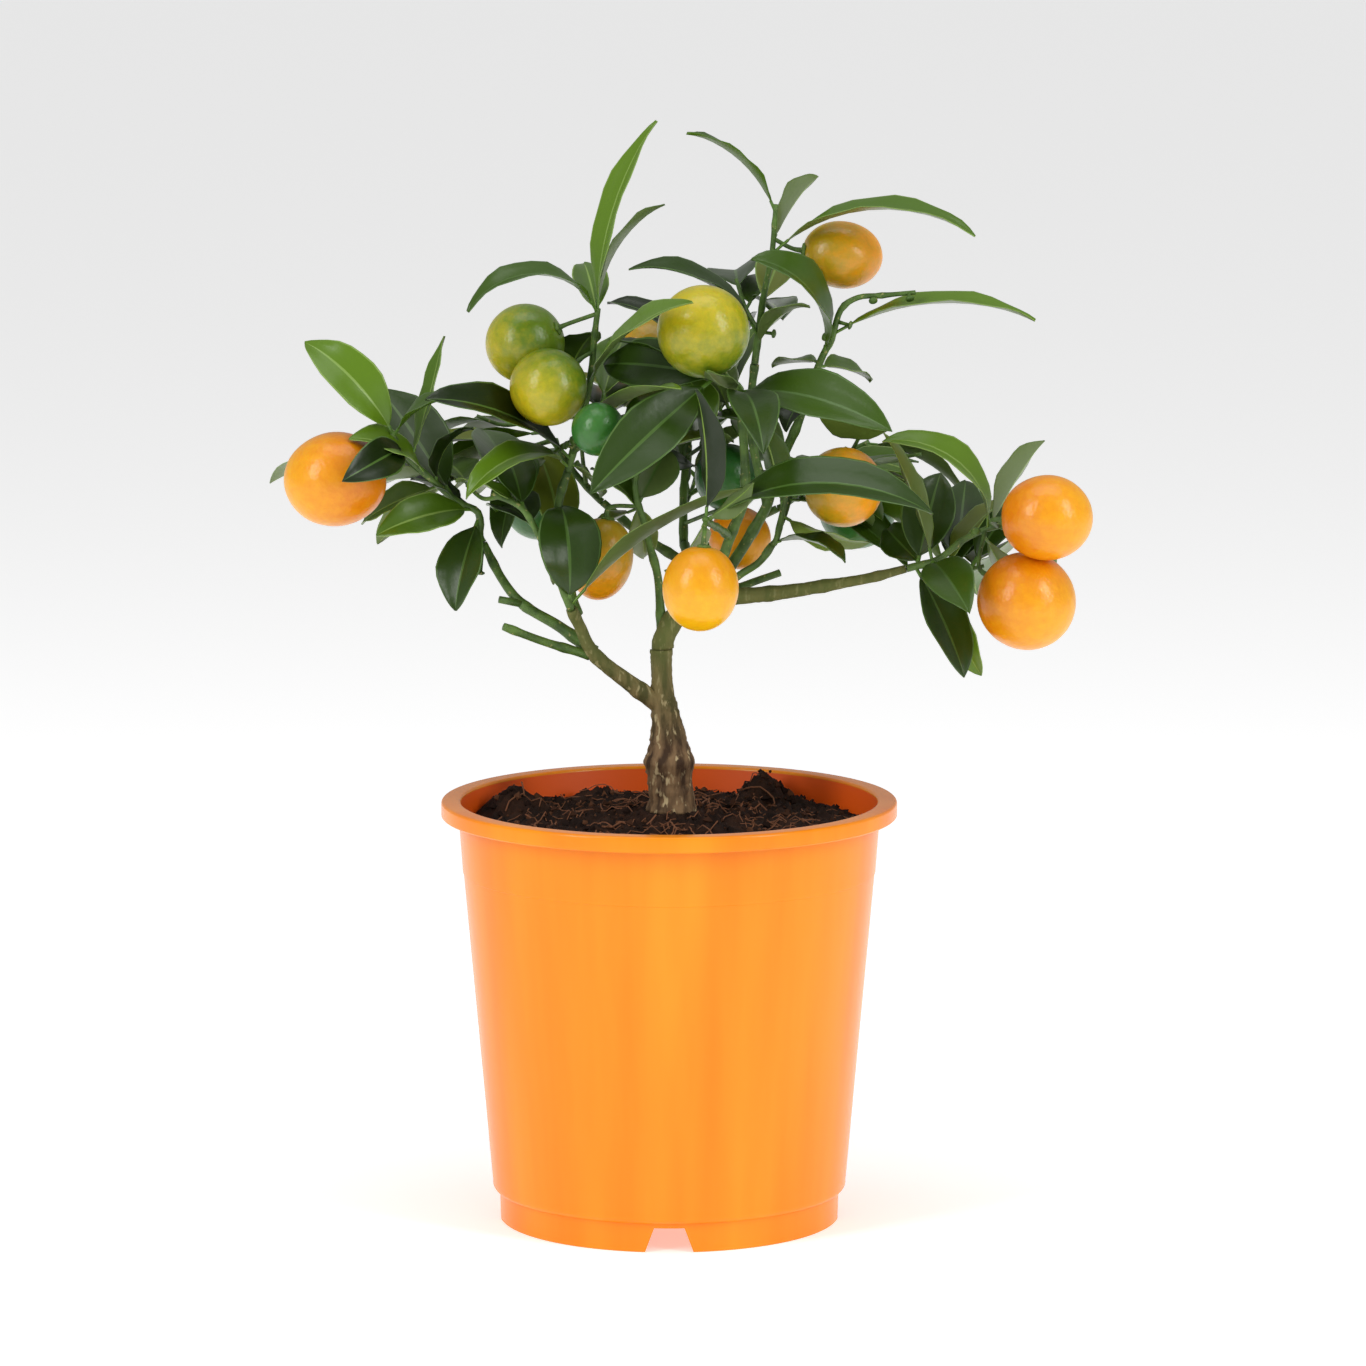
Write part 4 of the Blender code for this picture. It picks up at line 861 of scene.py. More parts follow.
# Masses of foliage. Each stem goes on from its bough's tip by its legs. A fruit row holds:
# place along the stem, heading, rise and reach to the fruit's middle, heading and rise of
# its axis, width, length, tone. A leaf row holds: place along the stem, heading, rise and
# span from root to tip, arch of the midrib, roll, width, tone. Rows give what the eye level
# view shows, and the seeded rule adds twigs and leaves inside the mass's room.
masses = {
    "foliage_far_left": dict(
        bough="bough_left_outer", radii=(1.6, 1.1), seed=3, twigs=2, leaves=6,
        legs=((10, 180, 86), (10, -166, 28), (14, -158, 41), (16, -155, 43), (13, -142, 53)),
        room=dict(centre=(-112, 42, 312), reach=(48, 46, 36)),
        fruit=((0.91, -167, -28, 30, 185, -8, 39, 43, "ripe"),),
        posed=(
            (1.00, 171, 46, 54, 80, -55, 22, "light"),
            (1.00, -14, 27, 37, 70, 15, 16, "middleDark"),
            (0.77, 31, 73, 53, -10, 0, 12, "middle"),
            (0.64, -144, 25, 41, 50, -35, 20, "light"),
            (0.87, -122, -12, 44, 60, -60, 18, "shadeBlack"),
            (0.80, 128, -11, 102, 20, 0, 22, "light"),
            (0.51, 152, -25, 42, 20, -40, 18, "middle"),
            (0.24, -147, -9, 47, 45, -45, 20, "middle"),
            (0.16, -121, -63, 41, 25, 0, 23, "dark"),
            (0.29, 166, 26, 26, 20, 0, 20, "shadeBlack"),
            (0.53, -15, 57, 29, 80, 0, 18, "shadeBlack"),
        ),
    ),
    "foliage_left": dict(
        bough="bough_left", radii=(1.7, 1.1), seed=5, twigs=2, leaves=7,
        legs=((13, 180, 69), (17, 150, 61), (14, 165, 57), (14, 162, 24)),
        room=dict(centre=(-66, 38, 312), reach=(34, 44, 30)),
        fruit=(),
        posed=(
            (0.04, 101, 65, 43, 100, 0, 28, "dark"),
            (0.02, -19, 33, 98, 35, 0, 26, "middle"),
            (0.75, 106, 32, 42, 40, 0, 20, "dark"),
            (0.80, 149, 17, 32, 40, 0, 12, "middle"),
        ),
    ),
    "foliage_upper_left": dict(
        bough="bough_left_upper", radii=(1.6, 1.2), seed=7, twigs=2, leaves=6,
        legs=((18, -23, 74), (18, -46, 72), (21, -54, 80), (11, -57, 77)),
        room=dict(centre=(-40, 48, 352), reach=(38, 44, 30)),
        fruit=((0.97, 163, -23, 34, 160, -25, 33, 33, "turning"),
               (0.74, -145, -31, 26, 210, -35, 32, 32, "turning"),
               (0.11, -75, 19, 45, -80, 20, 22, 22, "green")),
        posed=(
            (1.00, 7, 73, 83, 40, 25, 17, "light"),
            (0.99, 42, 50, 57, 55, -40, 16, "sheenGrey"),
            (1.00, -157, 3, 58, 120, -15, 18, "middleDark"),
            (0.55, -62, 25, 98, 30, 45, 18, "light"),
            (0.02, -141, -9, 55, 100, -20, 18, "light"),
            (0.07, -146, 23, 77, 45, -35, 28, "shadeBlack"),
            (0.87, 109, -30, 41, 20, 0, 18, "dark"),
            (0.96, 98, 23, 47, 20, 0, 16, "middle"),
            (0.18, -59, 20, 90, 30, 0, 16, "light"),
            (0.05, 55, -35, 28, 20, 30, 16, "middle"),
        ),
    ),
    "foliage_centre": dict(
        bough="bough_centre", radii=(1.5, 1.0), seed=11, twigs=1, leaves=6,
        legs=((8, 180, 72), (8, 112, 83), (13, 50, 67)),
        room=dict(centre=(-8, 48, 318), reach=(36, 40, 36)),
        fruit=((0.24, 190, -53, 27, 190, -80, 27, 35, "mixed"),),
        posed=(
            (0.27, 58, 43, 31, 30, 30, 22, "sheenGrey"),
            (0.17, 148, 35, 30, 30, 0, 20, "middle"),
            (0.30, 85, -42, 42, 10, 160, 14, "pale"),
            (0.22, 128, -32, 72, 30, -30, 20, "olive"),
        ),
    ),
    "foliage_centre_front": dict(
        bough="bough_front", radii=(1.7, 1.1), seed=13, twigs=0, leaves=4,
        legs=((8, -102, 40), (14, -119, 18), (13, -113, 6)),
        room=dict(centre=(10, 20, 350), reach=(36, 50, 30)),
        fruit=((0.18, -122, 44, 39, -122, 48, 38, 38, "turning"),),
        posed=(
            (0.88, -150, -37, 73, 25, -50, 26, "dark"),
            (0.60, 143, 2, 63, 40, -60, 24, "dark"),
            (0.12, -83, -12, 75, 50, 0, 22, "dark"),
            (0.16, -36, -8, 77, 50, 40, 26, "middleDark"),
            (0.25, -107, 15, 46, -25, 0, 12, "light"),
            (0.72, 141, 12, 60, 20, 0, 12, "dark"),
        ),
    ),
    "foliage_low_centre": dict(
        bough="bough_low_centre", radii=(1.5, 1.2), seed=17, twigs=0, leaves=1,
        legs=((8, -100, 13), (8, -102, 16)),
        room=dict(centre=(10, -50, 310), reach=(40, 40, 26)),
        fruit=((0.97, -100, -65, 29, -160, -86, 31, 35, "amber"),),
        posed=(
            (1.00, -150, 86, 54, 20, 0, 22, "shadeBlack"),
            (0.69, -16, 4, 95, 80, 30, 28, "dark"),
            (0.88, -33, 35, 29, 20, -120, 12, "pale"),
            (0.98, 120, -38, 41, 20, 150, 20, "pale"),
        ),
    ),
    "foliage_top": dict(
        bough="bough_top", radii=(1.6, 1.0), seed=19, twigs=1, leaves=7,
        legs=((21, -39, 81), (12, -45, 76), (11, -45, 75), (21, -52, 83)),
        room=dict(centre=(42, 50, 378), reach=(30, 44, 26)),
        fruit=((0.79, 11, -14, 30, 12, -8, 28, 34, "mixed"),),
        posed=(
            (0.95, -164, 42, 51, 55, -5, 16, "middleDark"),
            (0.77, 49, 43, 38, 20, -60, 22, "sheenGrey"),
            (0.69, -20, 7, 89, 75, 10, 20, "middle"),
            (0.10, -42, 34, 35, 60, 0, 14, "middle"),
            (0.17, -159, 28, 65, 70, -20, 20, "dark"),
            (0.40, 73, -19, 32, 30, 0, 20, "dark"),
        ),
    ),
    "foliage_upper_right": dict(
        bough="bough_upper_right", radii=(1.7, 0.9), seed=23, twigs=1, leaves=7,
        legs=((16, -35, 65), (8, -29, 60), (13, -29, 71), (9, -15, 36), (10, -12, 6),
              (14, -8, 6)),
        room=dict(centre=(76, 44, 340), reach=(34, 44, 26)),
        fruit=(),
        posed=(
            (0.24, -143, 50, 57, 95, -45, 30, "middleDark"),
            (0.40, -7, 5, 84, 55, 10, 18, "light"),
            (0.19, 39, -15, 30, 30, 20, 18, "middle"),
            (0.22, 130, -7, 31, 10, 0, 14, "middle"),
            (0.05, 27, -28, 43, 20, 140, 24, "pale"),
            (0.06, -130, -45, 24, 20, 0, 14, "shadeBlack"),
        ),
    ),
    "foliage_right": dict(
        bough="bough_right_upper", radii=(1.4, 1.0), seed=29, twigs=1, leaves=5,
        legs=((10, 0, 78), (10, -32, 76), (8, 20, 66)),
        room=dict(centre=(75, 36, 306), reach=(36, 44, 26)),
        fruit=((0.80, -12, 3, 23, -5, 5, 33, 33, "mixed"),),
        posed=(
            (0.02, -36, -7, 37, 60, 0, 16, "dark"),
            (0.42, 22, -19, 42, 30, 150, 16, "pale"),
            (0.50, -128, 68, 42, 20, 0, 16, "dark"),
            (0.90, 66, 2, 52, 30, 0, 18, "sheenGrey"),
        ),
    ),
    "foliage_far_right": dict(
        bough="bough_right", radii=(1.6, 1.1), seed=31, twigs=2, leaves=6,
        legs=((11, -21, 18), (14, -22, 38), (11, -18, 27), (7, -17, 16)),
        room=dict(centre=(118, 38, 288), reach=(44, 56, 34)),
        fruit=((0.98, -54, 12, 33, -20, 5, 35, 38, "ripe"),
               (0.84, -50, -47, 37, -30, -30, 40, 41, "ripe")),
        posed=(
            (0.86, -166, 40, 59, 110, -35, 20, "light"),
            (0.87, 40, 49, 46, 10, -60, 24, "sheenGrey"),
            (0.25, -148, 67, 60, 20, 0, 14, "olive"),
            (0.10, 59, 62, 42, 20, 20, 24, "dark"),
            (0.14, 118, 22, 32, 30, -50, 16, "dark"),
            (0.25, -77, -13, 59, 30, 20, 22, "middleDark"),
            (0.08, -37, -60, 51, 20, 20, 22, "dark"),
            (0.27, 38, -63, 57, 20, 160, 20, "light"),
            (0.80, 51, -55, 62, 20, 0, 16, "middle"),
            (1.00, 43, -29, 40, 20, 0, 16, "middle"),
        ),
    ),
    "foliage_back": dict(
        bough="bough_back", radii=(2.0, 1.1), seed=37, twigs=5, leaves=18,
        legs=((20, 90, 74), (22, 60, 80), (22, -40, 76), (20, -80, 64)),
        room=dict(centre=(8, 58, 326), reach=(62, 46, 68)),
        fruit=((0.12, -57, -2, 43, -57, -40, 26, 27, "ripe"),
               (0.45, -54, -12, 30, -54, -60, 28, 29, "green"),
               (0.92, 150, 10, 26, 150, -40, 32, 33, "mixed")),
        posed=(),
    ),
    "foliage_back_left": dict(
        bough="bough_back_left", radii=(1.5, 1.0), seed=41, twigs=4, leaves=15,
        legs=((14, 160, 45), (16, 150, 50), (16, 185, 45)),
        room=dict(centre=(-62, 58, 302), reach=(58, 46, 44)),
        fruit=((0.60, 120, -55, 28, 120, -65, 33, 35, "green"),),
        posed=(),
    ),
    "foliage_back_right": dict(
        bough="bough_back_right", radii=(1.5, 1.0), seed=43, twigs=4, leaves=15,
        legs=((14, 25, 35), (16, 15, 40), (16, -5, 30)),
        room=dict(centre=(72, 58, 292), reach=(56, 46, 42)),
        fruit=((0.70, 60, -55, 28, 60, -65, 33, 35, "green"),),
        posed=(),
    ),
}


def meshTree(mesh):
    return BVHTree.FromPolygons([vert.co for vert in mesh.vertices],
                                [face.vertices for face in mesh.polygons])


def proofTree(points, radii, resolution):
    # A round tube along the points, for testing what it would touch
    curve = bpy.data.curves.new("proof", "CURVE")
    curve.dimensions = "3D"
    curve.bevel_depth = mm
    curve.bevel_resolution = resolution
    curve.use_fill_caps = True
    curve.render_resolution_u = 0
    spline = curve.splines.new("POLY")
    spline.points.add(len(points) - 1)
    for place, point, radius in zip(spline.points, points, radii):
        place.co = (*(point * mm), 1.0)
        place.radius = radius
    thing = bpy.data.objects.new("proof", curve)
    bpy.context.scene.collection.objects.link(thing)
    bpy.context.view_layer.update()
    graph = bpy.context.evaluated_depsgraph_get()
    tree = meshTree(bpy.data.meshes.new_from_object(thing.evaluated_get(graph)))
    bpy.data.objects.remove(thing, do_unlink=True)
    return tree


def bladeShare(along):
    # Half width of the blade as a share of its widest, from the root to the tip
    if along <= growth["petiole"]:
        return 0.0
    blade = (along - growth["petiole"]) / (1.0 - growth["petiole"])
    return math.sin(math.pi * min(blade, 1.0) ** growth["bladeSkew"]) ** growth["fullness"]


def leafFrame(leaf):
    # Chord from root to tip, the side across the blade and the way its upper face looks
    chord = aim(leaf["heading"], leaf["rise"])
    side = chord.cross(Vector((0, 0, 1))).normalized()
    face = side.cross(chord)
    turn = Matrix.Rotation(math.radians(leaf["roll"]), 3, chord)
    return chord, turn @ side, turn @ face


def midrib(leaf, along, axes):
    # Point on the arched midrib and the direction its upper face looks there
    chord, side, face = axes
    half = math.radians(leaf["arch"]) / 2
    if abs(half) < nearly:
        return leaf["root"] + chord * leaf["span"] * along, face
    radius = leaf["span"] / (2 * math.sin(half))
    slope = half - 2 * half * along
    forward = radius * (math.sin(half) - math.sin(slope))
    outward = radius * (math.cos(slope) - math.cos(half))
    up = face * math.cos(slope) - chord * math.sin(slope)
    return leaf["root"] + chord * forward + face * outward, up


def leafMesh(leaf, margin=0.0, start=0.0):
    # A small sphere of four sides, flattened and bent: a leaf of diamond section
    stations = growth["stations"]
    rings = len(stations) - 1
    bm = bmesh.new()
    bmesh.ops.create_uvsphere(bm, u_segments=4, v_segments=rings, radius=1.0)
    axes = leafFrame(leaf)
    fold = math.radians(growth["fold"])
    halfThick = max(leaf["span"] * growth["thickness"] / 2, growth["thinnest"])
    for vert in bm.verts:
        ring = round(math.acos(max(-1.0, min(1.0, vert.co.z))) / math.pi * rings)
        along = max(stations[ring], start)
        point, up = midrib(leaf, along, axes)
        if 0 < ring < rings:
            size = math.sin(math.pi * ring / rings)
            across = vert.co.x / size
            through = vert.co.y / size
            halfWidth = max(bladeShare(along) * leaf["width"] / 2, growth["petioleHalfWidth"])
            point = point + axes[1] * across * (halfWidth * math.cos(fold) + margin)
            point += up * (abs(across) * halfWidth * math.sin(fold))
            point += up * through * (halfThick + margin)
        vert.co = point * mm
    mesh = bpy.data.meshes.new("leaf")
    bm.to_mesh(mesh)
    bm.free()
    return mesh


def fruitMesh(fruit):
    bm = bmesh.new()
    bmesh.ops.create_uvsphere(bm, u_segments=growth["fruitSides"],
                              v_segments=growth["fruitRings"], radius=0.5 * mm)
    turn = fruit["axis"].to_track_quat("Z", "Y").to_matrix()
    for vert in bm.verts:
        across = Vector((vert.co.x * fruit["width"], vert.co.y * fruit["width"],
                         vert.co.z * fruit["length"]))
        vert.co = turn @ across + fruit["middle"] * mm
    mesh = bpy.data.meshes.new("fruit")
    bm.to_mesh(mesh)
    bm.free()
    return mesh


def leafTrees(leaf):
    # The leaf as it is, with a margin round it, and the same without its root
    margin = growth["testMargin"]
    return [meshTree(mesh) for mesh in (leafMesh(leaf), leafMesh(leaf, margin),
                                        leafMesh(leaf, margin, growth["bladeFrom"]))]


def furthestBack(leaf):
    return max(vert.co.y for vert in leafMesh(leaf).vertices) / mm


class Crown:
    # Everything that has been placed, so that a twig or leaf that would touch it is skipped

    def __init__(self):
        self.placed = []

    def add(self, owner, middle, reach, tree):
        self.placed.append((owner, middle, reach, tree))

    def touching(self, middle, reach, tree, skip=(), only=()):
        for owner, otherMiddle, otherReach, otherTree in self.placed:
            if owner in skip or (only and owner not in only):
                continue
            if (middle - otherMiddle).length > reach + otherReach:
                continue
            if tree.overlap(otherTree):
                return owner
        return None


def sunkPlace(points, at):
    # A place on a stem, kept off its very end so that what grows there is sunk in it
    end = 1.0 - growth["rootDepth"] / lengthsAlong(points)[-1]
    return placeOn(points, min(at, end))


def seededDirection(direction, turn, spread):
    # A way that spreads from the stem's own, turned round it
    across = direction.orthogonal().normalized()
    turnedAcross = Matrix.Rotation(math.radians(turn), 3, direction) @ across
    spread = math.radians(spread)
    return direction * math.cos(spread) + turnedAcross * math.sin(spread)


def asAngles(direction):
    return (math.degrees(math.atan2(direction.y, direction.x)),
            math.degrees(math.asin(max(-1.0, min(1.0, direction.z)))))


def inRoom(room, point):
    offset = point - Vector(room["centre"])
    return sum((offset[i] / room["reach"][i]) ** 2 for i in range(3)) <= 1.0


def leafReach(leaf):
    middle, up = midrib(leaf, 0.5, leafFrame(leaf))
    return middle, leaf["span"] / 2 + leaf["width"] / 2


def leafTip(leaf):
    return leaf["root"] + aim(leaf["heading"], leaf["rise"]) * leaf["span"]


def seededTwigs(name, mass, crown, rng):
    # Twigs leave the stem a golden turn apart and bend up, inside the mass's room
    twigs = []
    stem = mass["stem"]
    turn = rng.uniform(0, 360)
    for i in range(mass["twigs"]):
        turn += growth["goldenTurn"]
        share = growth["twigFrom"] + growth["twigsOver"] * i / max(mass["twigs"] - 1, 1)
        root, direction = placeOn(stem, share)
        for attempt in range(growth["triesPerTwig"]):
            way = seededDirection(direction, turn + attempt * growth["tryTurn"],
                                  rng.uniform(*growth["twigSpread"]))
            length = rng.uniform(*growth["twigLength"])
            bend = (way + Vector((0, 0, growth["twigRise"]))).normalized()
            joint = root + way * length * 0.5
            points = [root, joint, joint + bend * length * 0.5]
            if not inRoom(mass["room"], points[-1]):
                continue
            tree = proofTree(points[1:], growth["twigRadii"], 0)
            middle = (points[1] + points[2]) / 2
            if crown.touching(middle, length, tree, skip=(name + "_stem",)):
                continue
            crown.add(name + "_twig", middle, length, tree)
            twigs.append(points)
            break
    return twigs


def seededLeaf(path, share, turn, rng):
    # One leaf at a share of a path, going on from the path where it sits at the tip
    root, direction = sunkPlace(path, share)
    spread = growth["tipSpread"] if share > growth["tipFrom"] else growth["sideSpread"]
    heading, rise = asAngles(seededDirection(direction, turn, rng.uniform(*spread)))
    leaf = dict(root=root, heading=heading,
                rise=max(growth["lowest"], min(growth["highest"], rise)),
                span=rng.uniform(*growth["span"]), arch=rng.uniform(*growth["arch"]),
                roll=rng.uniform(*growth["roll"]))
    leaf["width"] = leaf["span"] * rng.uniform(*growth["slimness"])
    return leaf


def seededLeaves(name, mass, crown, rng):
    # Leaves leave each path a golden turn apart, and one that would touch isn't made
    leaves = []
    paths = [mass["stem"]] + mass["grownTwigs"]
    ownWood = (name + "_stem", name + "_twig")
    turn = rng.uniform(0, 360)
    tries = 0
    while len(leaves) < mass["leaves"] and tries < mass["leaves"] * growth["triesPerLeaf"]:
        share = rng.uniform(growth["leafFrom"], 1.0)
        if tries < len(paths):
            share = 1.0
        turn += growth["goldenTurn"]
        leaf = seededLeaf(paths[tries % len(paths)], share, turn, rng)
        tries += 1
        middle, reach = leafReach(leaf)
        if not inRoom(mass["room"], leafTip(leaf)) or not inRoom(mass["room"], middle):
            continue
        if furthestBack(leaf) > growth["backReach"]:
            continue
        real, padded, blade = leafTrees(leaf)
        if crown.touching(middle, reach, padded, skip=(name,) + ownWood):
            continue
        if crown.touching(middle, reach, blade, only=(name,) + ownWood):
            continue
        crown.add(name, middle, reach, real)
        leaves.append(leaf)
    return leaves


def posedLeaves(name, mass, crown):
    # The leaves that the photo shows, row by row
    leaves = []
    for at, heading, rise, span, arch, roll, width, tone in mass["posed"]:
        root, direction = sunkPlace(mass["stem"], at)
        leaf = dict(root=root, heading=heading, rise=rise, span=span, arch=arch, roll=roll,
                    width=width, tone=tone)
        middle, reach = leafReach(leaf)
        real, padded = leafTrees(leaf)[:2]
        touched = crown.touching(middle, reach, padded, skip=(name, name + "_stem"))
        if touched:
            print("skipped a leaf of", name, "at", at, "that touches", touched)
            continue
        crown.add(name, middle, reach, real)
        leaves.append(leaf)
    return leaves


def fruitOf(stem, row):
    at, heading, rise, reach, axisHeading, axisRise, width, length, tone = row
    root, direction = sunkPlace(stem, at)
    axis = aim(axisHeading, axisRise)
    middle = root + aim(heading, rise) * reach
    return dict(middle=middle, axis=axis, width=width, length=length, tone=tone,
                stalk=[root, middle - axis * length * growth["stalkBend"],
                       middle - axis * length * growth["stalkEnd"]])


def growMasses(routes):
    # Wood, pot and soil first, then stems and fruit, then leaves, so that nothing touches
    crown = Crown()
    for name, (points, radii) in routes.items():
        crown.add(name, (points[0] + points[-1]) / 2, (points[0] - points[-1]).length,
                  meshTree(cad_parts[name].data))
    for name in ("pot", "soil"):
        crown.add(name, Vector(growth["potMiddle"]), growth["potReach"],
                  meshTree(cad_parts[name].data))
    for name, mass in masses.items():
        tip, direction = placeOn(routes[mass["bough"]][0], 1.0)
        start = tip + direction * gap
        stem = [start] + walk(start + direction * growth["stemLead"], mass["legs"])
        mass["stem"] = stem
        crown.add(name + "_stem", (stem[0] + stem[-1]) / 2, lengthsAlong(stem)[-1],
                  proofTree(stem, tapered(stem, mass["radii"]), 1))
        mass["grownFruit"] = [fruitOf(stem, row) for row in mass["fruit"]]
        for fruit in mass["grownFruit"]:
            crown.add(name + "_fruit", fruit["middle"], fruit["length"] / 2,
                      meshTree(fruitMesh(fruit)))
    for name, mass in masses.items():
        mass["grownLeaves"] = posedLeaves(name, mass, crown)
    for name, mass in masses.items():
        rng = random.Random(mass["seed"])
        mass["grownTwigs"] = seededTwigs(name, mass, crown, rng)
        mass["grownLeaves"] += seededLeaves(name, mass, crown, rng)
    print("masses grown:", sum(len(mass["grownLeaves"]) for mass in masses.values()), "leaves")


# Leaves: thick blades folded along a pale midrib, joined into one piece

leafLook = dict(
    stations=19, petioleRings=3, strips=(-1.0, -0.93, -0.5, -0.055, 0.055, 0.5, 0.93, 1.0),
    halfThick=0.22, marginThick=0.08, marginFrom=0.99, ribTo=0.1, ribDepth=0.35,
    ribGroove=0.4, petioleHalfThick=0.65, petioleThinnest=0.02, bladeStart=0.08,
    tipFrom=0.97, tipHalfWidth=0.25, tipCurl=20.0, curlFrom=0.8,
    wave=0.55, phase=(0, 6), waves=(2.0, 3.5), waveShift=2.2, roughness=0.32, seed=83,
    # One leaf green at the brightness each leaf shows, partly its own tone and partly painted
    # light and shade: the black tone is painted shade, the grey tone mostly painted sheen off
    # the glossy face, pale the paler underside and olive a yellower green
    tones=dict(
        shadeBlack=(28, 42, 10), dark=(44, 66, 14), middleDark=(58, 84, 18), middle=(74, 104, 24),
        light=(88, 120, 24), pale=(106, 128, 56), sheenGrey=(80, 98, 50), olive=(98, 110, 30),
    ),
    parts=dict(rib=(122, 150, 70), ribShade=(74, 102, 46), under=(94, 114, 60),
               petiole=(86, 120, 48)),
    # Seeded leaves draw their tones from these at random, painted shade and painted sheen
    # among them
    seededTones=("shadeBlack", "dark", "dark", "middleDark", "middleDark", "middle", "middle",
                 "sheenGrey", "olive"),
    # The darker leaves get a darker rib, painted shade, and the darkest of them a darker
    # underside, painted shade too
    ribShadeOf=("shadeBlack", "dark", "middleDark", "sheenGrey"),
    shadedUnderOf=dict(shadeBlack="shadeBlack", dark="middleDark", middleDark="middle"),
)
leafSlots = list(leafLook["tones"]) + list(leafLook["parts"])


def placesOfRings():
    # Where along a leaf its rings are: on the petiole, then closer near the blade's ends
    neck = leafLook["petioleRings"]
    onBlade = leafLook["stations"] - neck
    petiole = growth["petiole"]
    places = [petiole * i / neck for i in range(neck)]
    for i in range(onBlade):
        share = i / (onBlade - 1)
        places.append(petiole + (1 - petiole) * (1 - math.cos(math.pi * share)) / 2)
    return places


def halfThickness(size, side, along, blade):
    # Half the leaf's thickness at a distance from the midrib, above it or below it
    if along <= growth["petiole"]:
        return leafLook["petioleHalfThick"] * math.sqrt(
            max(1 - size * size, leafLook["petioleThinnest"]))
    if size > leafLook["marginFrom"]:
        return leafLook["marginThick"]
    if size > leafLook["ribTo"]:
        return leafLook["halfThick"]
    if side > 0:
        return leafLook["halfThick"] * leafLook["ribGroove"]
    return leafLook["halfThick"] + leafLook["ribDepth"] * blade


def addLeaf(verts, faces, slots, leaf, tone, rng):
    # Rings across the blade, upper face first, each with its strips from edge to edge
    axes = leafFrame(leaf)
    fold = math.radians(growth["fold"])
    phase = rng.uniform(*leafLook["phase"])
    waves = rng.uniform(*leafLook["waves"])
    first = len(verts)
    for along in placesOfRings():
        point, up = midrib(leaf, along, axes)
        narrowest = growth["petioleHalfWidth"]
        if along > leafLook["tipFrom"]:
            narrowest = leafLook["tipHalfWidth"]
        halfWidth = max(bladeShare(along) * leaf["width"] / 2, narrowest)
        blade = min(max((along - growth["petiole"]) / leafLook["bladeStart"], 0.0), 1.0)
        point = point - up * leafLook["tipCurl"] * max(along - leafLook["curlFrom"], 0.0) ** 2
        for side in (1, -1):
            for u in leafLook["strips"]:
                size = abs(u)
                shift = leafLook["waveShift"] if u > 0 else 0
                wave = math.sin(phase + waves * 2 * math.pi * along + shift)
                height = size * halfWidth * math.sin(fold)
                height += leafLook["wave"] * blade * size * size * wave
                if along <= growth["petiole"]:
                    height = 0
                verts.append(point + axes[1] * u * halfWidth * math.cos(fold)
                             + up * (height + side * halfThickness(size, side, along, blade)))
    addLeafFaces(faces, slots, first, tone)


def addLeafFaces(faces, slots, first, tone):
    # Strips of the upper and the lower face, both edges, and the ends
    columns, rings = len(leafLook["strips"]), leafLook["stations"]
    step = columns * 2
    ribStrip = columns // 2 - 1
    # A darker leaf's rib and underside take painted shade
    rib = "ribShade" if tone in leafLook["ribShadeOf"] else "rib"
    under = leafLook["shadedUnderOf"].get(tone, "under")
    names = []
    for i in range(rings - 1):
        base = first + i * step
        onPetiole = i < leafLook["petioleRings"]
        for k in range(columns - 1):
            a, b = base + k, base + k + 1
            faces.append((a, a + step, b + step, b))
            upper = rib if k in (0, ribStrip, columns - 2) else tone
            names.append("petiole" if onPetiole else upper)
            a, b = a + columns, b + columns
            faces.append((a, b, b + step, a + step))
            lower = "rib" if k == ribStrip else under
            names.append("petiole" if onPetiole else lower)
        for a, b in ((base, base + columns), (base + step - 1, base + columns - 1)):
            faces.append((a, b, b + step, a + step))
            names.append(rib)
    for start, way in ((first, 1), (first + (rings - 1) * step, -1)):
        loop = list(range(start, start + columns))
        loop += list(range(start + step - 1, start + columns - 1, -1))
        faces.append(tuple(loop[::way]))
        names.append(tone)
    slots += [leafSlots.index(name) for name in names]


def leafSkin(name, colour):
    material = newMaterial("leaf_" + name, colour, leafLook["roughness"],
                           Specular_IOR_Level=0.4)
    roughen(material, depth=0.4, strength=0.35, scale=240)
    return material


def buildLeaves():
    verts, faces, slots = [], [], []
    rng = random.Random(leafLook["seed"])
    for mass in masses.values():
        for leaf in mass["grownLeaves"]:
            tone = leaf.get("tone") or rng.choice(leafLook["seededTones"])
            addLeaf(verts, faces, slots, leaf, tone, rng)
    colours = list(leafLook["tones"].items()) + list(leafLook["parts"].items())
    materials = [leafSkin(name, colour) for name, colour in colours]
    dress(linkMesh("leaves", verts, faces, materials, slots), "foliage", *masses)
    print("leaves joined:", len(faces), "faces")


# Twigs, stalks and the pegs left by flowers and picked fruit

twigLook = dict(
    sides=10, ringStep=2.5, relief=0.1, nodeEvery=17, nodeSwelling=0.3,
    twigRadii=(1.1, 0.9, 0.8), stalkRadii=(0.9, 0.9, 1.5), stalkRingStep=1.5,
    searchSteps=5, pegForward=2, shortestPeg=2, pegLean=(0, -1.5, 0.5), pegSides=12,
    pegRadii=(0.975, 0.75),
    # Rings of a peg's button: how far past the peg's end, and radius
    button=((-1.2, 0.75), (-0.6, 1.9), (0.0, 1.805), (0.5, 0.855)),
)
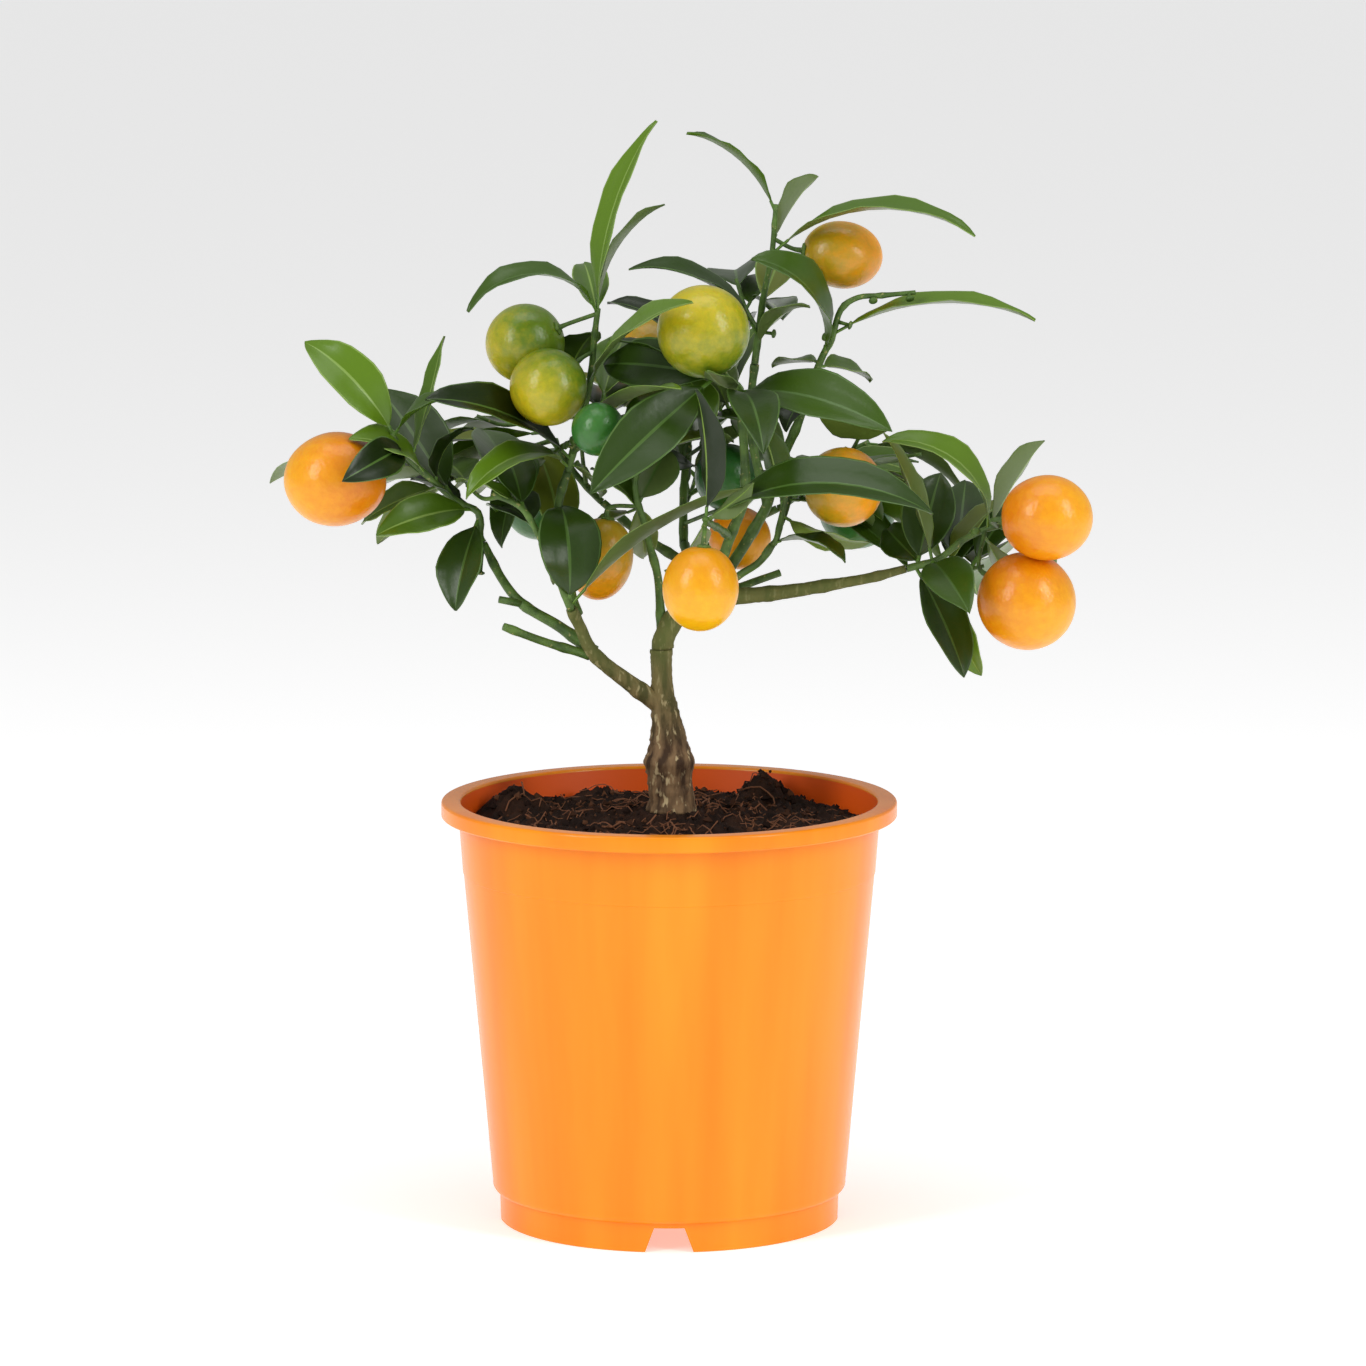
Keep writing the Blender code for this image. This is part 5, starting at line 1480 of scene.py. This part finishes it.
# Where pegs show at eye level: across and up, and how far they stand off their twig
pegs = (
    dict(x=46, z=370, reach=7), dict(x=64, z=371, reach=6), dict(x=99, z=387, reach=12),
    dict(x=84, z=386, reach=7), dict(x=83, z=373, reach=6), dict(x=66, z=335, reach=6),
    dict(x=-79, z=264, reach=13), dict(x=-40, z=327, reach=5), dict(x=-43, z=325, reach=6),
    dict(x=126, z=292, reach=5), dict(x=139, z=293, reach=6),
)


def nearestWood(paths, x, z):
    # The place on any stem or twig that is nearest to a point of the front view
    steps = twigLook["searchSteps"]
    places = [start + (end - start) * k / steps for path in paths
              for start, end in zip(path, path[1:]) for k in range(steps)]
    return min(places, key=lambda place: math.hypot(place.x - x, place.z - z))


def addPeg(verts, faces, root, end):
    # A thin peg ending in a button
    way = (end - root).normalized()
    path = [root, root + (end - root) * 0.5]
    path += [end + way * past for past, radius in twigLook["button"]]
    radii = list(twigLook["pegRadii"]) + [radius for past, radius in twigLook["button"]]
    addTube(verts, faces, path, radii, twigLook["pegSides"])


def buildTwigs():
    verts, faces, paths = [], [], []
    for mass in masses.values():
        stem = mass["stem"]
        path, widths = smoothPath(stem, tapered(stem, mass["radii"]), twigLook["ringStep"])
        widths = nodesOn(path, widths, twigLook["nodeEvery"], twigLook["nodeSwelling"])
        addTube(verts, faces, path, widths, twigLook["sides"], ridges(twigLook["relief"]))
        for twig in mass["grownTwigs"]:
            path, widths = smoothPath(twig, twigLook["twigRadii"], twigLook["ringStep"])
            addTube(verts, faces, path, widths, twigLook["sides"])
        for fruit in mass["grownFruit"]:
            path, widths = smoothPath(fruit["stalk"], twigLook["stalkRadii"],
                                      twigLook["stalkRingStep"])
            addTube(verts, faces, path, widths, twigLook["sides"])
        paths += [stem] + mass["grownTwigs"]
    for peg in pegs:
        root = nearestWood(paths, peg["x"], peg["z"])
        end = Vector((peg["x"], root.y - twigLook["pegForward"], peg["z"]))
        away = end - root
        if away.length > peg["reach"] or away.length < twigLook["shortestPeg"]:
            way = (away + Vector(twigLook["pegLean"])).normalized()
            end = root + way * peg["reach"]
        addPeg(verts, faces, root, end)
    dress(linkMesh("twigs", verts, faces, [greenSkin("twigBark")]), "foliage", *masses)
    print("twigs and pegs joined:", len(faces), "faces")


# Fruit: round skins with oil dimples, a calyx, and a greener top while they ripen

fruitLook = dict(
    segments=48, rings=32, roughness=0.3, seed=5, shift=(0, 50),
    stalkDent=0.045, stalkDentReach=0.28, dents=0.012, dentSize=1.6,
    calyxRadius=2.6, calyxPlace=0.475, calyxPoints=20, lobes=5, lobeDepth=0.22,
    # Rings of a calyx: share of its radius, and how far down the stalk
    calyxRings=((1.0, 0.0), (0.9, 0.9), (0.3, 1.3)), calyx=(92, 118, 50),
    # Colours of the skin and of its end near the stalk
    tones=dict(ripe=((238, 164, 16), (218, 124, 6)), amber=((242, 182, 20), (226, 150, 8)),
               turning=((188, 172, 30), (100, 126, 30)), green=((58, 112, 44), (38, 92, 38)),
               mixed=((242, 156, 20), (176, 142, 26))),
)
fruitSlots = list(fruitLook["tones"]) + ["calyx"]


def fruitSkin(name, base, end):
    # The base colour mottled, giving way to the end's colour near the stalk
    material = newMaterial("fruit_" + name, base, fruitLook["roughness"],
                           Specular_IOR_Level=0.5, Subsurface_Weight=0.15,
                           Subsurface_Scale=0.004)
    shade = addNode(material, "ShaderNodeAttribute")
    shade.attribute_name = "nearStalk"
    mottle = noisePattern(material, scale=230, detail=7.0, roughness=0.68)
    patch = addNode(material, "ShaderNodeMath")
    patch.operation = "MULTIPLY_ADD"
    patch.inputs[1].default_value = 1.1
    wire(material, mottle, 0, patch, 0)
    wire(material, shade, "Fac", patch, 2)
    colourFrom(material, mixedColour(material, spreadOf(material, patch, 0.55, 1.35), base,
                                     end))
    place = addNode(material, "ShaderNodeTexCoord")
    dimples = addNode(material, "ShaderNodeTexVoronoi", Scale=620)
    dimples.feature = "SMOOTH_F1"
    wire(material, place, "Object", dimples, "Vector")
    bumpFrom(material, dimples, depth=0.25, strength=0.5)
    return material


def addFruit(verts, faces, slots, shades, fruit, turn, rng):
    # A ball drawn out along its axis, dented where the stalk grows in at its lower end
    columns, rows = fruitLook["segments"], fruitLook["rings"]
    first = len(verts)
    shift = Vector((rng.uniform(*fruitLook["shift"]), rng.uniform(*fruitLook["shift"]), 0))
    for i in range(rows + 1):
        tilt = math.pi * i / rows
        fromStalk = (math.pi - tilt) / fruitLook["stalkDentReach"]
        for k in range(columns):
            angle = 2 * math.pi * k / columns
            ball = Vector((math.sin(tilt) * math.cos(angle),
                           math.sin(tilt) * math.sin(angle), math.cos(tilt)))
            size = 1 - fruitLook["stalkDent"] * math.exp(-fromStalk ** 2)
            size -= fruitLook["dents"] * max(
                noise.noise(ball * fruitLook["dentSize"] + shift), 0)
            radius = fruit["width"] / 2 * size
            half = fruit["length"] / 2 * size
            verts.append(fruit["middle"] + turn @ Vector(
                (ball.x * radius, ball.y * radius, ball.z * half)))
            shades.append((1 - math.cos(tilt)) / 2)
    joinRings(faces, first, rows + 1, columns, turned=True)
    slots += [fruitSlots.index(fruit["tone"])] * (rows * columns)


def addCalyx(verts, faces, slots, shades, fruit, turn):
    # A small star where the stalk meets the skin
    before, start = len(faces), len(verts)
    base = fruit["middle"] - fruit["axis"] * fruit["length"] * fruitLook["calyxPlace"]
    points = fruitLook["calyxPoints"]
    rings = fruitLook["calyxRings"]
    for share, drop in rings:
        for k in range(points):
            angle = 2 * math.pi * k / points
            lobe = 1 + fruitLook["lobeDepth"] * math.cos(fruitLook["lobes"] * angle)
            radius = fruitLook["calyxRadius"] * share * lobe
            verts.append(base + turn @ Vector((radius * math.cos(angle),
                                               radius * math.sin(angle), -drop)))
    joinRings(faces, start, len(rings), points, turned=True)
    last = start + (len(rings) - 1) * points
    faces.append(tuple(start + k for k in range(points)))
    faces.append(tuple(last + k for k in reversed(range(points))))
    slots += [fruitSlots.index("calyx")] * (len(faces) - before)
    shades += [1.0] * (len(verts) - start)


def buildFruit():
    verts, faces, slots, shades = [], [], [], []
    rng = random.Random(fruitLook["seed"])
    for mass in masses.values():
        for fruit in mass["grownFruit"]:
            turn = fruit["axis"].to_track_quat("Z", "Y").to_matrix()
            addFruit(verts, faces, slots, shades, fruit, turn, rng)
            addCalyx(verts, faces, slots, shades, fruit, turn)
    materials = [fruitSkin(name, *colours) for name, colours in fruitLook["tones"].items()]
    materials.append(newMaterial("calyx", fruitLook["calyx"], roughness=0.6))
    thing = linkMesh("fruit", verts, faces, materials, slots)
    attribute = thing.data.attributes.new("nearStalk", "FLOAT", "POINT")
    attribute.data.foreach_set("value", shades)
    selectOnly(thing)
    bpy.ops.object.mode_set(mode="EDIT")
    bpy.ops.mesh.select_all(action="SELECT")
    bpy.ops.mesh.remove_doubles(threshold=nearly * mm)
    bpy.ops.object.mode_set(mode="OBJECT")
    dress(thing, "foliage", *masses)
    print("fruit joined:", len(faces), "faces")


addCamera()
addStudio()
buildPot()
buildSoil()
limbRoutes = routesOfLimbs()
buildBark(limbRoutes)
growMasses(limbRoutes)
buildLeaves()
buildTwigs()
buildFruit()
